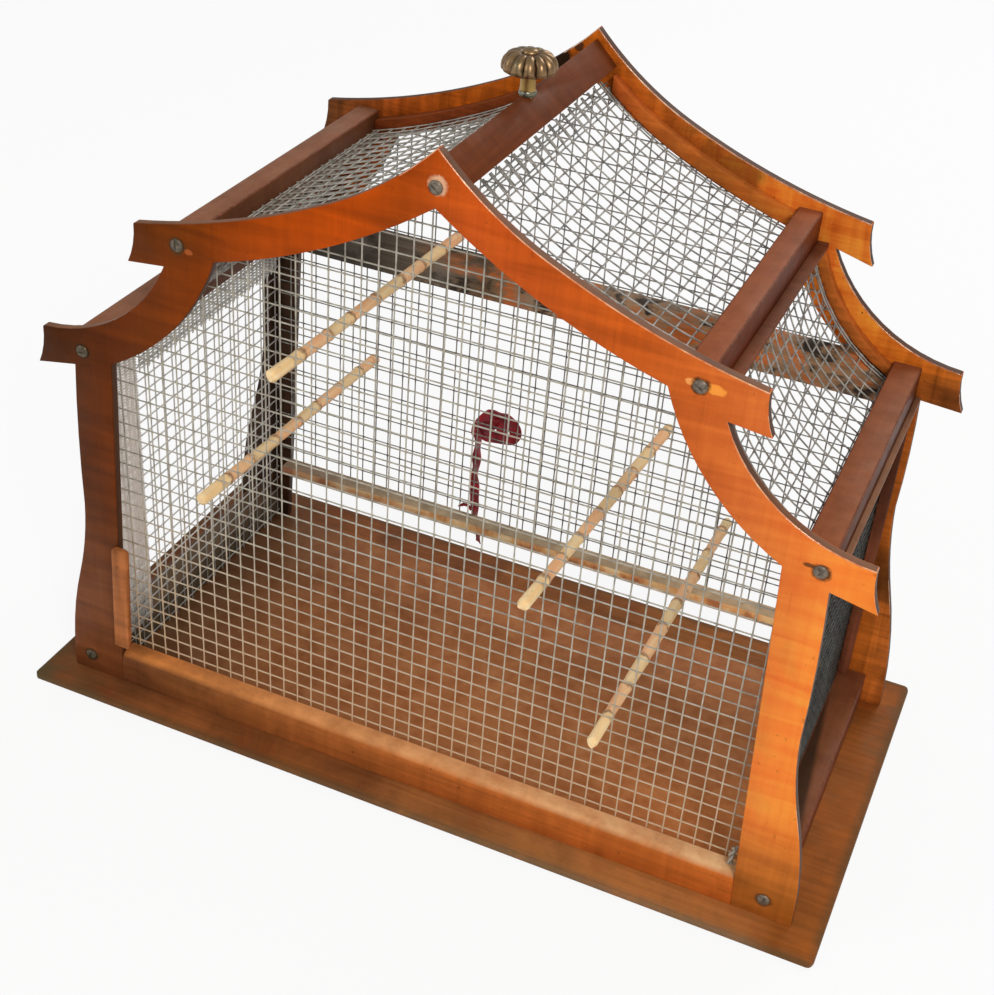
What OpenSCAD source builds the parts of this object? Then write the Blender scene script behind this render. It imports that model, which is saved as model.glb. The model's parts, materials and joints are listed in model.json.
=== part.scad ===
// Wooden bird cage with a pagoda roof, wire mesh walls and loose perches.
// Millimetres. X runs along the front, Y to the back and Z up.
// The origin is the middle of the base board's underside.

/* [Base board] */
// Width of the base board
base_w = 342.4; // [338:0.1:370]
// Depth of the base board
base_d = 173.6; // [166:0.1:200]
// Thickness of the base board
base_t = 2.6; // [2.4:0.1:6]
// Plan radius of the base board's corners
base_corner_r = 3.5; // [2:0.5:12]
// Rounding of the base board's edges
base_edge_r = 1; // [0.4:0.1:1.1]
// How far the cage stands forward of the middle of the base board
cage_forward = 1; // [0:0.1:4]

/* [Fretwork frames] */
// Depth of the cage over both frames
cage_d = 143.4; // [120:0.2:150]
// Thickness of each frame
frame_t = 3.8; // [3:0.1:6]
// Height of the apex above the base board
apex_h = 270.2; // [262:0.2:290]
// Depth of the frame under the apex
apex_band = 20.2; // [17:0.2:24]
// Half width at the bend of the upper roof line
shoulder_x = 43; // [36:0.5:50]
// Height of the bend of the upper roof line
shoulder_h = 240; // [236:0.5:244]
// Half width over the upper horns
upper_horn_x = 118.2; // [116:0.2:122]
// Height of the top of the upper horns
upper_horn_h = 217; // [214:0.2:219]
// Height of a horn's end face
horn_end = 15.5; // [10:0.5:17]
// How far a horn's end face leans outward
horn_lean = 3.4; // [1:0.1:5]
// Half width over the lower horns
lower_horn_x = 161.9; // [158:0.1:166]
// Height of the top of the lower horns
lower_horn_h = 164.7; // [163:0.1:168]
// Half width at the notch under the upper horns
upper_notch_x = 103.2; // [102:0.1:105]
// Half width at the notch under the lower horns
lower_notch_x = 145.3; // [144.5:0.1:147]
// Half width of the posts at their narrowest
waist_x = 147; // [146.2:0.1:150]
// Height where the posts start to flare
waist_h = 88; // [70:1:96]
// Half width over the feet
foot_x = 159; // [156:0.1:164]
// Half width of the opening under the eaves
opening_x = 128.8; // [126:0.1:129.8]
// Outward lean of the posts' inner edges down to the feet
opening_lean = 6.7; // [0:0.1:6.8]
// Height of the opening at the eaves
opening_h = 156.4; // [154:0.2:160]
// Half width of the opening at its upper shoulders
inner_shoulder_x = 82.6; // [80:0.2:85]
// Height of the opening at its upper shoulders
inner_shoulder_h = 210; // [208:0.2:211]

/* [Rear frame] */
// How much further out the rear frame's feet stand than the front frame's
rear_foot_out = 2.6; // [0:0.1:4]
// How much further out the rear frame's lower horns stand
rear_horn_out = 1.5; // [0:0.1:3]
// How much higher the rear frame's eaves stand
rear_eave_rise = 2.3; // [0:0.1:3]
// How much higher the rear frame's posts start to flare
rear_waist_rise = 12; // [0:0.5:16]

/* [Long bars] */
// Side of the square ridge bar, which is set on edge
ridge_side = 12.7; // [10:0.1:14]
// Depth of the ridge bar's top edge below the apex
ridge_drop = 4; // [2:0.2:6]
// Middle of the right upper bar from the centre
upper_right_x = 91.5; // [91:0.1:93]
// Middle of the left upper bar from the centre
upper_left_x = 95.5; // [93:0.1:96]
// Width of the upper bars
upper_bar_w = 9.4; // [8:0.1:10]
// Height of the underside of the upper bars
upper_bar_z = 205; // [203:0.2:206]
// Thickness of the upper bars
upper_bar_h = 14; // [11:0.2:14.6]
// Distance of the eave bars' inner faces from the centre
eave_bar_x = 134; // [132:0.2:135]
// Width of the eave bars
eave_bar_w = 11; // [9:0.2:11.2]
// Height of the underside of the eave bars
eave_bar_z = 151.4; // [151:0.1:153]
// Thickness of the eave bars
eave_bar_h = 14.6; // [10:0.2:15]
// Distance of the sill bars' inner faces from the centre
wall_x = 141; // [140:0.2:142]
// Width of the sill bars
sill_w = 12; // [9:0.2:14]
// Height of the sill bars and of the front rail
sill_h = 15; // [12:0.5:18]
// Depth of the front rail
front_rail_d = 8.5; // [6:0.1:10]
// Rounding of the front rail's upper edge
front_rail_r = 4; // [1:0.2:5]
// Width of the thin strips under the roof mesh edges
ledge_w = 4.4; // [3:0.1:5]
// Width of the thin strips along the eaves
drip_w = 2.2; // [1:0.1:3]
// Thickness of the thin strips
ledge_t = 2; // [1:0.1:3]

/* [Rear rails] */
// Height of the tray slot under the rear strip
slot_h = 31; // [24:0.5:40]
// Height of the rear strip
rear_strip_h = 5; // [3:0.5:8]
// Depth of the rear strip
rear_strip_d = 8; // [5:0.5:10]
// Half length of the rear rails
rear_rail_x = 133; // [131:0.5:138]
// Height of the underside of the cross rail
cross_rail_z = 150; // [146:0.5:151]
// Height of the cross rail
cross_rail_h = 17.4; // [10:0.2:17.6]
// Depth of the cross rail
cross_rail_d = 6; // [4:0.2:8]

/* [Battens] */
// Depth of the battens on the inner faces of the frames
batten_d = 4.7; // [3:0.1:7]
// Height of the curved battens
batten_h = 6; // [4:0.2:6.6]
// Depth of the curved battens below the roof line
batten_drop = 6.5; // [5.5:0.1:8]
// Width of the corner battens
corner_batten_w = 4.2; // [3:0.1:4.3]

/* [Wire mesh] */
// Pitch of the woven wire mesh
mesh_pitch = 6.35; // [6.2:0.05:6.6]
// Thickness of one wire
wire_d = 0.65; // [0.4:0.05:0.7]
// Number of pitches between the wires that are drawn
wire_step = 2; // [2:1:3]

/* [Perches] */
// Diameter of the perches
perch_d = 5.4; // [4:0.1:5.5]
// How far the perches stand out of the front mesh
perch_front = 12; // [8:0.5:20]
// How far the perches stand out of the rear mesh
perch_rear = 4; // [2:0.5:8]

/* [Fittings] */
// Diameter of the knob's fluted cap
knob_d = 19.5; // [14:0.5:26]
// Height of the underside of the knob's cap above the apex
knob_gap = 1.8; // [0.5:0.1:6]
// Height of the knob's cap
knob_cap_h = 8.6; // [6:0.2:12]
// Diameter of the knob's stem
knob_stem_d = 5.4; // [4:0.1:7]
// Diameter of the knob's foot
knob_foot_d = 8; // [7.4:0.1:9]
// Number of flutes round the knob's cap
knob_flutes = 12; // [8:1:16]
// Diameter of the screw heads
screw_head_d = 5; // [4:0.1:6]
// Diameter of the screw shanks
screw_d = 2.2; // [1.6:0.1:2.6]
// Length of the screw shanks
screw_len = 16; // [10:0.5:20]
// Height of the small upright slip on the left post
slip_h = 51; // [30:1:60]
// Width of the small upright slip
slip_w = 7.2; // [6:0.1:8]
// Thickness of the small upright slip
slip_t = 2.6; // [1.5:0.1:5]
// Width of the ribbon
ribbon_w = 5.5; // [4:0.1:8]
// Thickness of the ribbon
ribbon_t = 0.9; // [0.5:0.1:1.2]

/* [Fits] */
// Gap between pieces that lie close but aren't fixed
gap = 0.3; // [0.2:0.05:0.4]
// Clearance round the screws
screw_clear = 0.1; // [0.05:0.05:0.2]

/* [Hidden] */
$fn = 48;

// Straight stretches in each curve of the frames and of the roof mesh
curve_steps = 12;
roof_steps = 6;
horn_steps = 4;

// Sides of the two frames: minus one is the front or the left
front = -1;
rear = 1;
left = -1;
right = 1;

frame_outer_y = cage_d / 2;
frame_inner_y = frame_outer_y - frame_t;
mesh_t = 2 * wire_d;
ridge_half = ridge_side / sqrt(2);
ridge_z = apex_h - ridge_drop - ridge_half;
roof_mesh_drop = batten_drop + batten_h;
upper_bar_top = upper_bar_z + upper_bar_h;
eave_bar_mid_x = eave_bar_x + eave_bar_w / 2;
sill_mid_x = wall_x + sill_w / 2;

// Bends of the roof lines, sideways from their chords
apex_sag = -2.6;
eave_sag = -2.5;
lower_roof_sag = -9.5;
inner_upper_sag = -4.1;
inner_lower_sag = -6.7;
horn_sag = -1;
post_top_sag = 0.7;
post_hollow_sag = -1.1;
post_flare_sag = 1.9;
lower_mesh_sag = -6;

// Where a post's hollow meets its flare, as shares of the way from waist to foot
flare_share = 0.46;
flare_level = 0.59;
// Share of the lower horns' shift that the waist takes part in
waist_share = 0.4;

upper_horn_top = [upper_horn_x - horn_lean, upper_horn_h];
upper_horn_foot = [upper_horn_x, upper_horn_h - horn_end];
upper_notch = [upper_notch_x, upper_horn_foot[1] + 1.7];
lower_horn_top = [lower_horn_x - horn_lean, lower_horn_h];
lower_horn_foot = [lower_horn_x, lower_horn_h - horn_end - 0.7];
lower_notch = [lower_notch_x, lower_horn_foot[1] + 3.3];
inner_apex_h = apex_h - apex_band;
foot_inner_x = opening_x + opening_lean;

// Points of a circular arc from a to b that bulges by sag to the left of the way
function arc_points(a, b, sag, steps) =
    let (chord = b - a, length = norm(chord), normal = [-chord[1], chord[0]] / length)
    let (radius = (length * length / 4 + sag * sag) / (2 * sag))
    let (centre = (a + b) / 2 + normal * (sag - radius))
    let (from = atan2(a[1] - centre[1], a[0] - centre[0]))
    let (to = atan2(b[1] - centre[1], b[0] - centre[0]))
    let (turn = to - from > 180 ? to - from - 360 : to - from < -180 ? to - from + 360 : to - from)
    [for (i = [0:steps]) let (t = from + turn * i / steps)
        centre + abs(radius) * [cos(t), sin(t)]];

function reversed(points) = [for (i = [len(points) - 1:-1:0]) points[i]];
function lowered(points, drop) = [for (p = points) [p[0], p[1] - drop]];
function mirrored(points) = [for (p = reversed(points)) [-p[0], p[1]]];
function between(points, x0, x1) = [for (p = points) if (p[0] > x0 && p[0] < x1) p];

// Upper roof line from the apex to a horn whose top is raised by rise
function roof_line(steps, rise = 0) = concat(
    arc_points([0, apex_h], [shoulder_x, shoulder_h], apex_sag, steps),
    arc_points([shoulder_x, shoulder_h], upper_horn_top + [0, rise], eave_sag, steps));

// Height of that line at a given x, and a stretch of it moved down
function roof_height(x) =
    let (line = roof_line(curve_steps))
    lookup(x, line);
function roof_stretch(x0, x1, drop) = lowered(concat(
    [[x0, roof_height(x0)]], between(roof_line(roof_steps), x0, x1), [[x1, roof_height(x1)]]), drop);

// Inner edge of a post at a given height
function post_inner_x(z) = foot_inner_x - opening_lean * z / opening_h;

// Half outline of a frame from the apex down the outside, and the changes that the rear one has
function half_outer(foot_out, horn_out, eave_rise, waist_rise) =
    let (upper_rise = eave_rise / 2)
    let (upper_corner = upper_notch + [0, eave_rise])
    let (lower_top = lower_horn_top + [horn_out, eave_rise])
    let (lower_foot = lower_horn_foot + [horn_out, eave_rise])
    let (waist = [waist_x + horn_out * waist_share, waist_h + waist_rise])
    let (foot = [foot_x + foot_out, 0])
    let (flare = [waist[0] + (foot[0] - waist[0]) * flare_share, waist[1] * flare_level])
    concat(
        roof_line(curve_steps, upper_rise),
        arc_points(upper_horn_top + [0, upper_rise], upper_horn_foot, horn_sag, horn_steps),
        arc_points(upper_corner, lower_top, lower_roof_sag, curve_steps),
        arc_points(lower_top, lower_foot, horn_sag, horn_steps),
        arc_points(lower_notch + [horn_out, 0], waist, post_top_sag, horn_steps),
        arc_points(waist, flare, post_hollow_sag, roof_steps),
        arc_points(flare, foot, post_flare_sag, roof_steps));

// The same from a foot up the inside, which both frames share
half_inner = concat(
    [[foot_inner_x, 0]],
    arc_points([opening_x, opening_h], [inner_shoulder_x, inner_shoulder_h], -inner_lower_sag, curve_steps),
    arc_points([inner_shoulder_x, inner_shoulder_h], [0, inner_apex_h], -inner_upper_sag, curve_steps));

// Screws of one frame: ridge, upper bars, eave bars and sill bars
screw_spots = [
    [0, ridge_z],
    [upper_right_x + 1.6, upper_bar_z + upper_bar_h * 0.57],
    [-upper_left_x - 1.6, upper_bar_z + upper_bar_h * 0.57],
    [eave_bar_mid_x + 1.8, eave_bar_z + eave_bar_h * 0.5],
    [-eave_bar_mid_x - 1.8, eave_bar_z + eave_bar_h * 0.5],
    [sill_mid_x, sill_h * 0.58],
    [-sill_mid_x - 3.5, sill_h * 0.55]
];

// Mesh planes, named by the face that lies outward
front_mesh_y = frame_inner_y - batten_d;
rear_mesh_y = frame_inner_y;

// Middles of mesh holes: the hole in column and row zero, for the front and the rear mesh
front_hole = [5, 1.2];
rear_hole = [4.2, 5.7];
function nearest_hole(place, hole) = hole + mesh_pitch * [
    round((place[0] - hole[0]) / mesh_pitch), round((place[1] - hole[1]) / mesh_pitch)];

// Half a pitch above the lowest place where a perch clears the cross rail
perch_over_rail = cross_rail_z + cross_rail_h + perch_d / 2 + gap + mesh_pitch / 2;

// Where each perch runs, to the nearest holes: sideways and height at the front and at the rear
perch_places = [
    [[-58.5, 172.6], [-53, perch_over_rail]],
    [[-90.2, 109.2], [-91, 101]],
    [[43, 109.2], [48.6, 107.3]],
    [[74.8, 58.4], [80.4, 69.2]]
];

// The roof mesh starts clear of the ridge bar's lower face
roof_mesh_start = ridge_half * 0.66;
lower_mesh_top = upper_bar_z + 0.3;

function upper_bar_mid(side) = side == left ? upper_left_x : upper_right_x;
function upper_bar_inner(side) = upper_bar_mid(side) - upper_bar_w / 2;
function upper_bar_outer(side) = upper_bar_mid(side) + upper_bar_w / 2;

// Line of the lower roof mesh, along its upper face
function lower_mesh_line(side) = arc_points(
    [upper_bar_outer(side) + 0.5, lower_mesh_top],
    [eave_bar_x - gap, eave_bar_z + eave_bar_h * 0.62], lower_mesh_sag, roof_steps);

// The same line moved square to its chord
function lower_mesh_shifted(side, distance) =
    let (line = lower_mesh_line(side), chord = line[roof_steps] - line[0])
    let (normal = [-chord[1], chord[0]] / norm(chord))
    [for (p = line) p + normal * distance];

// Half outline of the end walls' mesh, inside the bars and the roof mesh
function end_wall_half(side, bottom) = concat(
    [[0, ridge_z - ridge_half - gap]],
    roof_stretch(roof_mesh_start + 1, upper_bar_inner(side) - gap, roof_mesh_drop + mesh_t + gap),
    [[upper_bar_inner(side) - gap, upper_bar_z - gap]],
    [for (p = lower_mesh_shifted(side, -mesh_t - gap)) if (p[1] < upper_bar_z - gap) p],
    [[eave_bar_x - gap, eave_bar_z - gap]],
    [[wall_x - mesh_t - gap, eave_bar_z - gap]],
    [[wall_x - mesh_t - gap, bottom]]);

function end_wall_outline(bottom) =
    concat(end_wall_half(right, bottom), mirrored(end_wall_half(left, bottom)));

// Puts pieces on top of the base board, at the middle of the cage
module on_base() {
    translate([0, -cage_forward, base_t]) children();
}

// Stands a flat outline in X and Z up, as a plate of thickness t from y to the back
module upright(y, t) {
    translate([0, y + t, 0]) rotate([90, 0, 0]) linear_extrude(t) children();
}

module rounded_rect(w, d, r) {
    square([w - 2 * r, d], center = true);
    square([w, d - 2 * r], center = true);
    for (x = [-1, 1], y = [-1, 1]) translate([x * (w / 2 - r), y * (d / 2 - r)]) circle(r);
}

// A plain bar from frame to frame, given by its inner face, width, underside and height
module long_bar(side, x, w, z, h) {
    low_x = side == left ? -x - w : x;
    translate([low_x, -frame_inner_y, z]) cube([w, 2 * frame_inner_y, h]);
}

module screw_holes() {
    for (spot = screw_spots) {
        translate([spot[0], -frame_outer_y - 1, spot[1]]) rotate([-90, 0, 0])
            cylinder(d = screw_d + 2 * screw_clear, h = screw_len + 1 + screw_clear, $fn = 24);
        translate([spot[0], frame_outer_y + 1, spot[1]]) rotate([90, 0, 0])
            cylinder(d = screw_d + 2 * screw_clear, h = screw_len + 1 + screw_clear, $fn = 24);
    }
}

module base_board() color([0.45, 0.27, 0.16]) intersection() {
    linear_extrude(base_t) rounded_rect(base_w, base_d, base_corner_r);
    translate([-base_w / 2, 0, base_t / 2]) rotate([90, 0, 90])
        linear_extrude(base_w) rounded_rect(base_d, base_t, base_edge_r);
    translate([0, base_d / 2, base_t / 2]) rotate([90, 0, 0])
        linear_extrude(base_d) rounded_rect(base_w, base_t, base_edge_r);
}

module frame_outline(outer) {
    polygon(concat(outer, half_inner, mirrored(half_inner), mirrored(outer)));
}

module front_frame() color([0.75, 0.36, 0.12]) on_base() difference() {
    upright(-frame_outer_y, frame_t) frame_outline(half_outer(0, 0, 0, 0));
    screw_holes();
}

module rear_frame() color([0.68, 0.32, 0.12]) on_base() difference() {
    upright(frame_inner_y, frame_t)
        frame_outline(half_outer(rear_foot_out, rear_horn_out, rear_eave_rise, rear_waist_rise));
    screw_holes();
}

// Front rail between the posts, with a rounded upper edge
module front_bottom_rail() color([0.62, 0.31, 0.13]) on_base() intersection() {
    translate([-foot_inner_x, -frame_outer_y, 0]) rotate([90, 0, 90])
        linear_extrude(2 * foot_inner_x) difference() {
            square([front_rail_d, sill_h]);
            translate([0, sill_h - front_rail_r]) difference() {
                square(front_rail_r);
                translate([front_rail_r, 0]) circle(front_rail_r);
            }
        }
    upright(-frame_outer_y - 1, front_rail_d + 2) polygon([
        [-post_inner_x(0), 0], [post_inner_x(0), 0],
        [post_inner_x(sill_h), sill_h], [-post_inner_x(sill_h), sill_h]]);
}

// Ridge bar set on edge, with a flat seat and a hole for the knob
module ridge_bar() color([0.43, 0.25, 0.17]) on_base() difference() {
    translate([0, frame_inner_y, ridge_z]) rotate([90, 0, 0]) linear_extrude(2 * frame_inner_y)
        rotate(45) square(ridge_side, center = true);
    translate([0, 0, knob_seat_z]) cylinder(d = knob_foot_d + 2 * gap, h = ridge_drop + 2);
    translate([0, 0, knob_seat_z - knob_peg - gap])
        cylinder(d = knob_peg_d + 2 * screw_clear, h = knob_peg + 2 * gap);
    screw_holes();
}

module upper_bar(side) color([0.43, 0.25, 0.17]) on_base() difference() {
    long_bar(side, upper_bar_inner(side), upper_bar_w, upper_bar_z, upper_bar_h);
    screw_holes();
}

module eave_bar(side) color([0.42, 0.24, 0.16]) on_base() difference() {
    long_bar(side, eave_bar_x, eave_bar_w, eave_bar_z, eave_bar_h);
    screw_holes();
}

module sill_bar(side) color([0.42, 0.24, 0.16]) on_base() difference() {
    long_bar(side, wall_x, sill_w, 0, sill_h);
    screw_holes();
}

// Cross rail inside the rear mesh, with its ends cut to the slope of the lower roof mesh
module rear_cross_rail() color([0.40, 0.23, 0.16]) on_base()
    upright(rear_mesh_y - mesh_t - cross_rail_d, cross_rail_d) intersection() {
        translate([-rear_rail_x, cross_rail_z]) square([2 * rear_rail_x, cross_rail_h]);
        polygon(end_wall_outline(slot_h));
    }

module rear_bottom_strip() color([0.58, 0.42, 0.28]) on_base()
    translate([-rear_rail_x, rear_mesh_y - mesh_t - rear_strip_d, slot_h])
        cube([2 * rear_rail_x, rear_strip_d, rear_strip_h]);

// Low y of a batten that lies on the inner face of one frame
function batten_y(end) = end == front ? -frame_inner_y : frame_inner_y - batten_d;

// Curved batten under the upper roof line
module upper_batten(end, side) color([0.50, 0.30, 0.18]) on_base()
    mirror([side == left ? 1 : 0, 0, 0]) upright(batten_y(end), batten_d) polygon(concat(
        roof_stretch(ridge_half + gap, upper_bar_inner(side), batten_drop),
        reversed(roof_stretch(ridge_half + gap, upper_bar_inner(side), roof_mesh_drop))));

// Curved batten on the lower roof mesh
module lower_batten(end, side) color([0.50, 0.30, 0.18]) on_base()
    mirror([side == left ? 1 : 0, 0, 0]) upright(batten_y(end), batten_d) intersection() {
        polygon(concat(
            lower_mesh_shifted(side, batten_h * 0.6),
            reversed(lower_mesh_shifted(side, 0))));
        square([eave_bar_x, lower_mesh_top]);
    }

// Corner batten between sill bar and eave bar, which carries the side wall's mesh
module corner_batten(end, side) color([0.45, 0.26, 0.16]) on_base()
    translate([side == left ? -wall_x - corner_batten_w : wall_x, batten_y(end), sill_h])
        cube([corner_batten_w, batten_d, eave_bar_z - sill_h]);

// Thin strip on the upper edge of the lower roof mesh
module upper_ledge(side) color([0.66, 0.45, 0.32]) on_base()
    long_bar(side, upper_bar_outer(side), ledge_w, lower_mesh_top, ledge_t);

// Thin strip along the outer foot of an eave bar
module eave_strip(side) color([0.66, 0.45, 0.32]) on_base()
    long_bar(side, eave_bar_x + eave_bar_w, drip_w, eave_bar_z, ledge_t);

// Wires of a flat mesh about one hole's middle, which has wires on both sides of it
module hole_grid(hole, low, high) {
    step = wire_step * mesh_pitch;
    first = hole + mesh_pitch / 2 * [1, 1];
    from = [for (i = [0:1]) floor((low[i] - first[i]) / step)];
    to = [for (i = [0:1]) ceil((high[i] - first[i]) / step)];
    for (i = [from[0]:to[0]], j = [from[1]:to[1]])
        translate(first + step * [i, j] + wire_d / 2 * [1, 1]) square(step - wire_d);
}

// End wall's mesh: a border wire follows the outline, and square holes fill it
module end_wall(hole, bottom, y) {
    outline = end_wall_outline(bottom);
    upright(y, mesh_t) difference() {
        polygon(outline);
        intersection() {
            offset(delta = -wire_d * 1.5) polygon(outline);
            hole_grid(hole, [-wall_x, bottom], [wall_x, apex_h]);
        }
    }
}

module front_mesh() color([0.72, 0.68, 0.58]) on_base()
    end_wall(front_hole, front_mesh_low, -front_mesh_y);

module rear_mesh() color([0.70, 0.66, 0.56]) on_base()
    end_wall(rear_hole, slot_h, rear_mesh_y - mesh_t);

// Side wall's mesh on the inner faces of a sill bar and two corner battens
module side_mesh(side) color([0.70, 0.66, 0.56]) on_base()
    translate([side == left ? -wall_x : wall_x - mesh_t, 0, 0]) rotate([90, 0, 90])
        linear_extrude(mesh_t) difference() {
            translate([-side_mesh_y, 0]) square([2 * side_mesh_y, side_mesh_h]);
            intersection() {
                translate([-side_mesh_y + wire_d, wire_d])
                    square([2 * side_mesh_y - 2 * wire_d, side_mesh_h - 2 * wire_d]);
                hole_grid([0, 0], [-side_mesh_y, 0], [side_mesh_y, side_mesh_h]);
            }
        }

// A height under the whole of the upper roof mesh
function roof_mesh_low(side) = roof_height(upper_bar_inner(side)) - roof_mesh_drop - 2 * mesh_t;

// Upper roof mesh: a bent band with square holes, stretched under the curved battens
module upper_roof_mesh(side) color([0.72, 0.68, 0.58]) on_base() mirror([side == left ? 1 : 0, 0, 0])
    difference() {
        upright(-frame_inner_y, roof_mesh_len) polygon(concat(
            roof_stretch(roof_mesh_start, upper_bar_inner(side) - gap, roof_mesh_drop),
            reversed(roof_stretch(roof_mesh_start, upper_bar_inner(side) - gap, roof_mesh_drop + mesh_t))));
        translate([0, 0, roof_mesh_low(side)]) linear_extrude(apex_h - roof_mesh_low(side)) intersection() {
            translate([roof_mesh_start + wire_d, -frame_inner_y + wire_d]) square([
                upper_bar_inner(side) - gap - roof_mesh_start - 2 * wire_d,
                roof_mesh_len - 2 * wire_d]);
            hole_grid([0, 0], [0, -frame_inner_y], [upper_bar_mid(side), frame_inner_y]);
        }
    }

// Lower roof mesh: a bent band from the upper bar down to the eave bar
module lower_roof_mesh(side) color([0.72, 0.68, 0.58]) on_base() mirror([side == left ? 1 : 0, 0, 0]) {
    line = lower_mesh_line(side);
    chord = line[roof_steps] - line[0];
    length = norm(chord);
    difference() {
        upright(-frame_inner_y, roof_mesh_len) polygon(concat(
            line, reversed(lower_mesh_shifted(side, -mesh_t))));
        translate([line[0][0], 0, line[0][1]]) rotate([0, atan2(-chord[1], chord[0]), 0])
            translate([0, 0, -length / 2]) linear_extrude(length) intersection() {
                translate([wire_d, -frame_inner_y + wire_d])
                    square([length - 2 * wire_d, roof_mesh_len - 2 * wire_d]);
                hole_grid([0, 0], [0, -frame_inner_y], [length, frame_inner_y]);
            }
    }
}

front_mesh_low = sill_h * 0.3;
side_mesh_y = frame_inner_y - gap;
side_mesh_h = eave_bar_z - gap;
roof_mesh_len = 2 * frame_inner_y - mesh_t - gap;

// A straight twig from hole to hole, rounded a little at both ends
module perch(index) color([0.84, 0.67, 0.47]) on_base() {
    near = nearest_hole(perch_places[index][0], front_hole);
    far = nearest_hole(perch_places[index][1], rear_hole);
    start = [near[0], -front_mesh_y + mesh_t / 2, near[1]];
    end = [far[0], rear_mesh_y - mesh_t / 2, far[1]];
    way = end - start;
    length = norm(way);
    translate(start) rotate([0, acos(way[2] / length), atan2(way[1], way[0])])
        translate([0, 0, -perch_front]) rotate_extrude() polygon([
            [0, 0], [perch_d / 2 - perch_chamfer, 0], [perch_d / 2, perch_chamfer],
            [perch_d / 2, length + perch_front + perch_rear - perch_chamfer],
            [perch_d / 2 - perch_chamfer, length + perch_front + perch_rear],
            [0, length + perch_front + perch_rear]]);
}
perch_chamfer = 0.6;

// Brass knob: a turned stem with a foot and a peg in the ridge bar, under a fluted cap
knob_seat_z = apex_h - ridge_drop - 1.2;
knob_peg = 7;
knob_peg_d = 4;
knob_cap_z = apex_h + knob_gap;
knob_foot_h = 2;

module knob_stem() color([0.66, 0.53, 0.33]) on_base() {
    translate([0, 0, knob_seat_z - knob_peg]) cylinder(d = knob_peg_d, h = knob_peg);
    translate([0, 0, knob_seat_z]) cylinder(d = knob_foot_d, h = knob_foot_h);
    translate([0, 0, knob_seat_z]) cylinder(d = knob_stem_d, h = knob_cap_z - knob_seat_z);
}

// Cap: a shallow hollow dome whose rim and top are fluted, with a button on it
module knob_cap() color([0.68, 0.55, 0.35]) on_base() translate([0, 0, knob_cap_z]) {
    difference() {
        rotate_extrude() polygon(concat(
            [[0, 0], [knob_d * 0.36, 0], [knob_d * 0.47, knob_cap_h * 0.12]],
            arc_points([knob_d / 2, knob_cap_h * 0.3], [knob_d * 0.16, knob_cap_h * 0.86], -knob_d * 0.08, 8),
            [[0, knob_cap_h * 0.86]]));
        for (i = [0:knob_flutes - 1]) rotate(i * 360 / knob_flutes)
            translate([knob_d * 0.56, 0, -1]) cylinder(d = knob_d * 0.2, h = knob_cap_h + 2);
    }
    translate([0, 0, knob_cap_h * 0.8]) intersection() {
        sphere(d = knob_d * 0.26);
        cylinder(d = knob_d, h = knob_cap_h);
    }
}

// Slotted screw with a low round head, pointing along plus Y from the head's seat
module screw() {
    rotate([-90, 0, 0]) {
        cylinder(d = screw_d, h = screw_len, $fn = 24);
        difference() {
            translate([0, 0, -screw_head_h]) cylinder(d = screw_head_d, h = screw_head_h, $fn = 32);
            translate([-screw_head_d, -screw_slot / 2, -screw_head_h - 1])
                cube([2 * screw_head_d, screw_slot, 1 + screw_head_h * 0.5]);
        }
    }
}
screw_head_h = 0.9;
screw_slot = 0.8;

module frame_screws() color([0.37, 0.33, 0.29]) on_base() for (spot = screw_spots) {
    translate([spot[0], -frame_outer_y, spot[1]]) screw();
    translate([spot[0], frame_outer_y, spot[1]]) rotate(180) screw();
}

// Small slip with rounded upper corners, nailed along the leaning inner edge of the left post
slip_z = sill_h + 6;
slip_lap = 1.7;
slip_top_r = 2;
module front_left_slip() color([0.74, 0.42, 0.20]) on_base()
    translate([-post_inner_x(slip_z) - slip_lap, 0, slip_z])
        rotate([0, atan(opening_lean / opening_h), 0]) upright(-frame_outer_y - slip_t, slip_t) {
            square([slip_w, slip_h - slip_top_r]);
            translate([slip_top_r, 0]) square([slip_w - 2 * slip_top_r, slip_h]);
            for (x = [slip_top_r, slip_w - slip_top_r])
                translate([x, slip_h - slip_top_r]) circle(slip_top_r);
        }

// Bent wire pin beside the right post
pin_d = 1.4;
pin_h = 9;
pin_inset = 4;
module front_wire_pin() color([0.55, 0.55, 0.52]) on_base()
    translate([post_inner_x(0) - pin_inset, -frame_outer_y + front_rail_r + pin_d, sill_h]) {
        cylinder(d = pin_d, h = pin_h, $fn = 24);
        translate([0, 0, pin_h]) sphere(d = pin_d * 1.3, $fn = 24);
    }

// Ribbon knotted on the rear mesh: a loop, a knot and a long tail outside the mesh
ribbon_x = -36;
ribbon_loop = [24, 20];
ribbon_knot_z = 78;
ribbon_tail = 60;
module ribbon() color([0.60, 0.08, 0.16]) on_base()
    translate([ribbon_x, 0, ribbon_knot_z]) upright(rear_mesh_y + gap, ribbon_t) {
        difference() {
            ribbon_loop_outline(0);
            ribbon_loop_outline(ribbon_w * 0.8);
        }
        square([ribbon_w * 1.3, ribbon_w * 1.3], center = true);
        polygon(concat(ribbon_edge(-1), reversed(ribbon_edge(1))));
    }

module ribbon_loop_outline(inset) {
    radius = ribbon_loop[1] / 2 - inset;
    middle = ribbon_loop[1] * 0.35;
    translate([ribbon_loop[1] / 2, middle]) circle(radius);
    translate([ribbon_loop[0] - ribbon_loop[1] / 2, middle]) circle(radius);
    translate([ribbon_loop[1] / 2, middle - radius])
        square([ribbon_loop[0] - ribbon_loop[1], 2 * radius]);
}

// One edge of the waving tail, which hangs from the knot
ribbon_steps = 12;
function ribbon_edge(edge) = [for (i = [0:ribbon_steps])
    [edge * ribbon_w / 2 + sin(i * 45) * 0.8, -ribbon_tail * i / ribbon_steps]];

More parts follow.
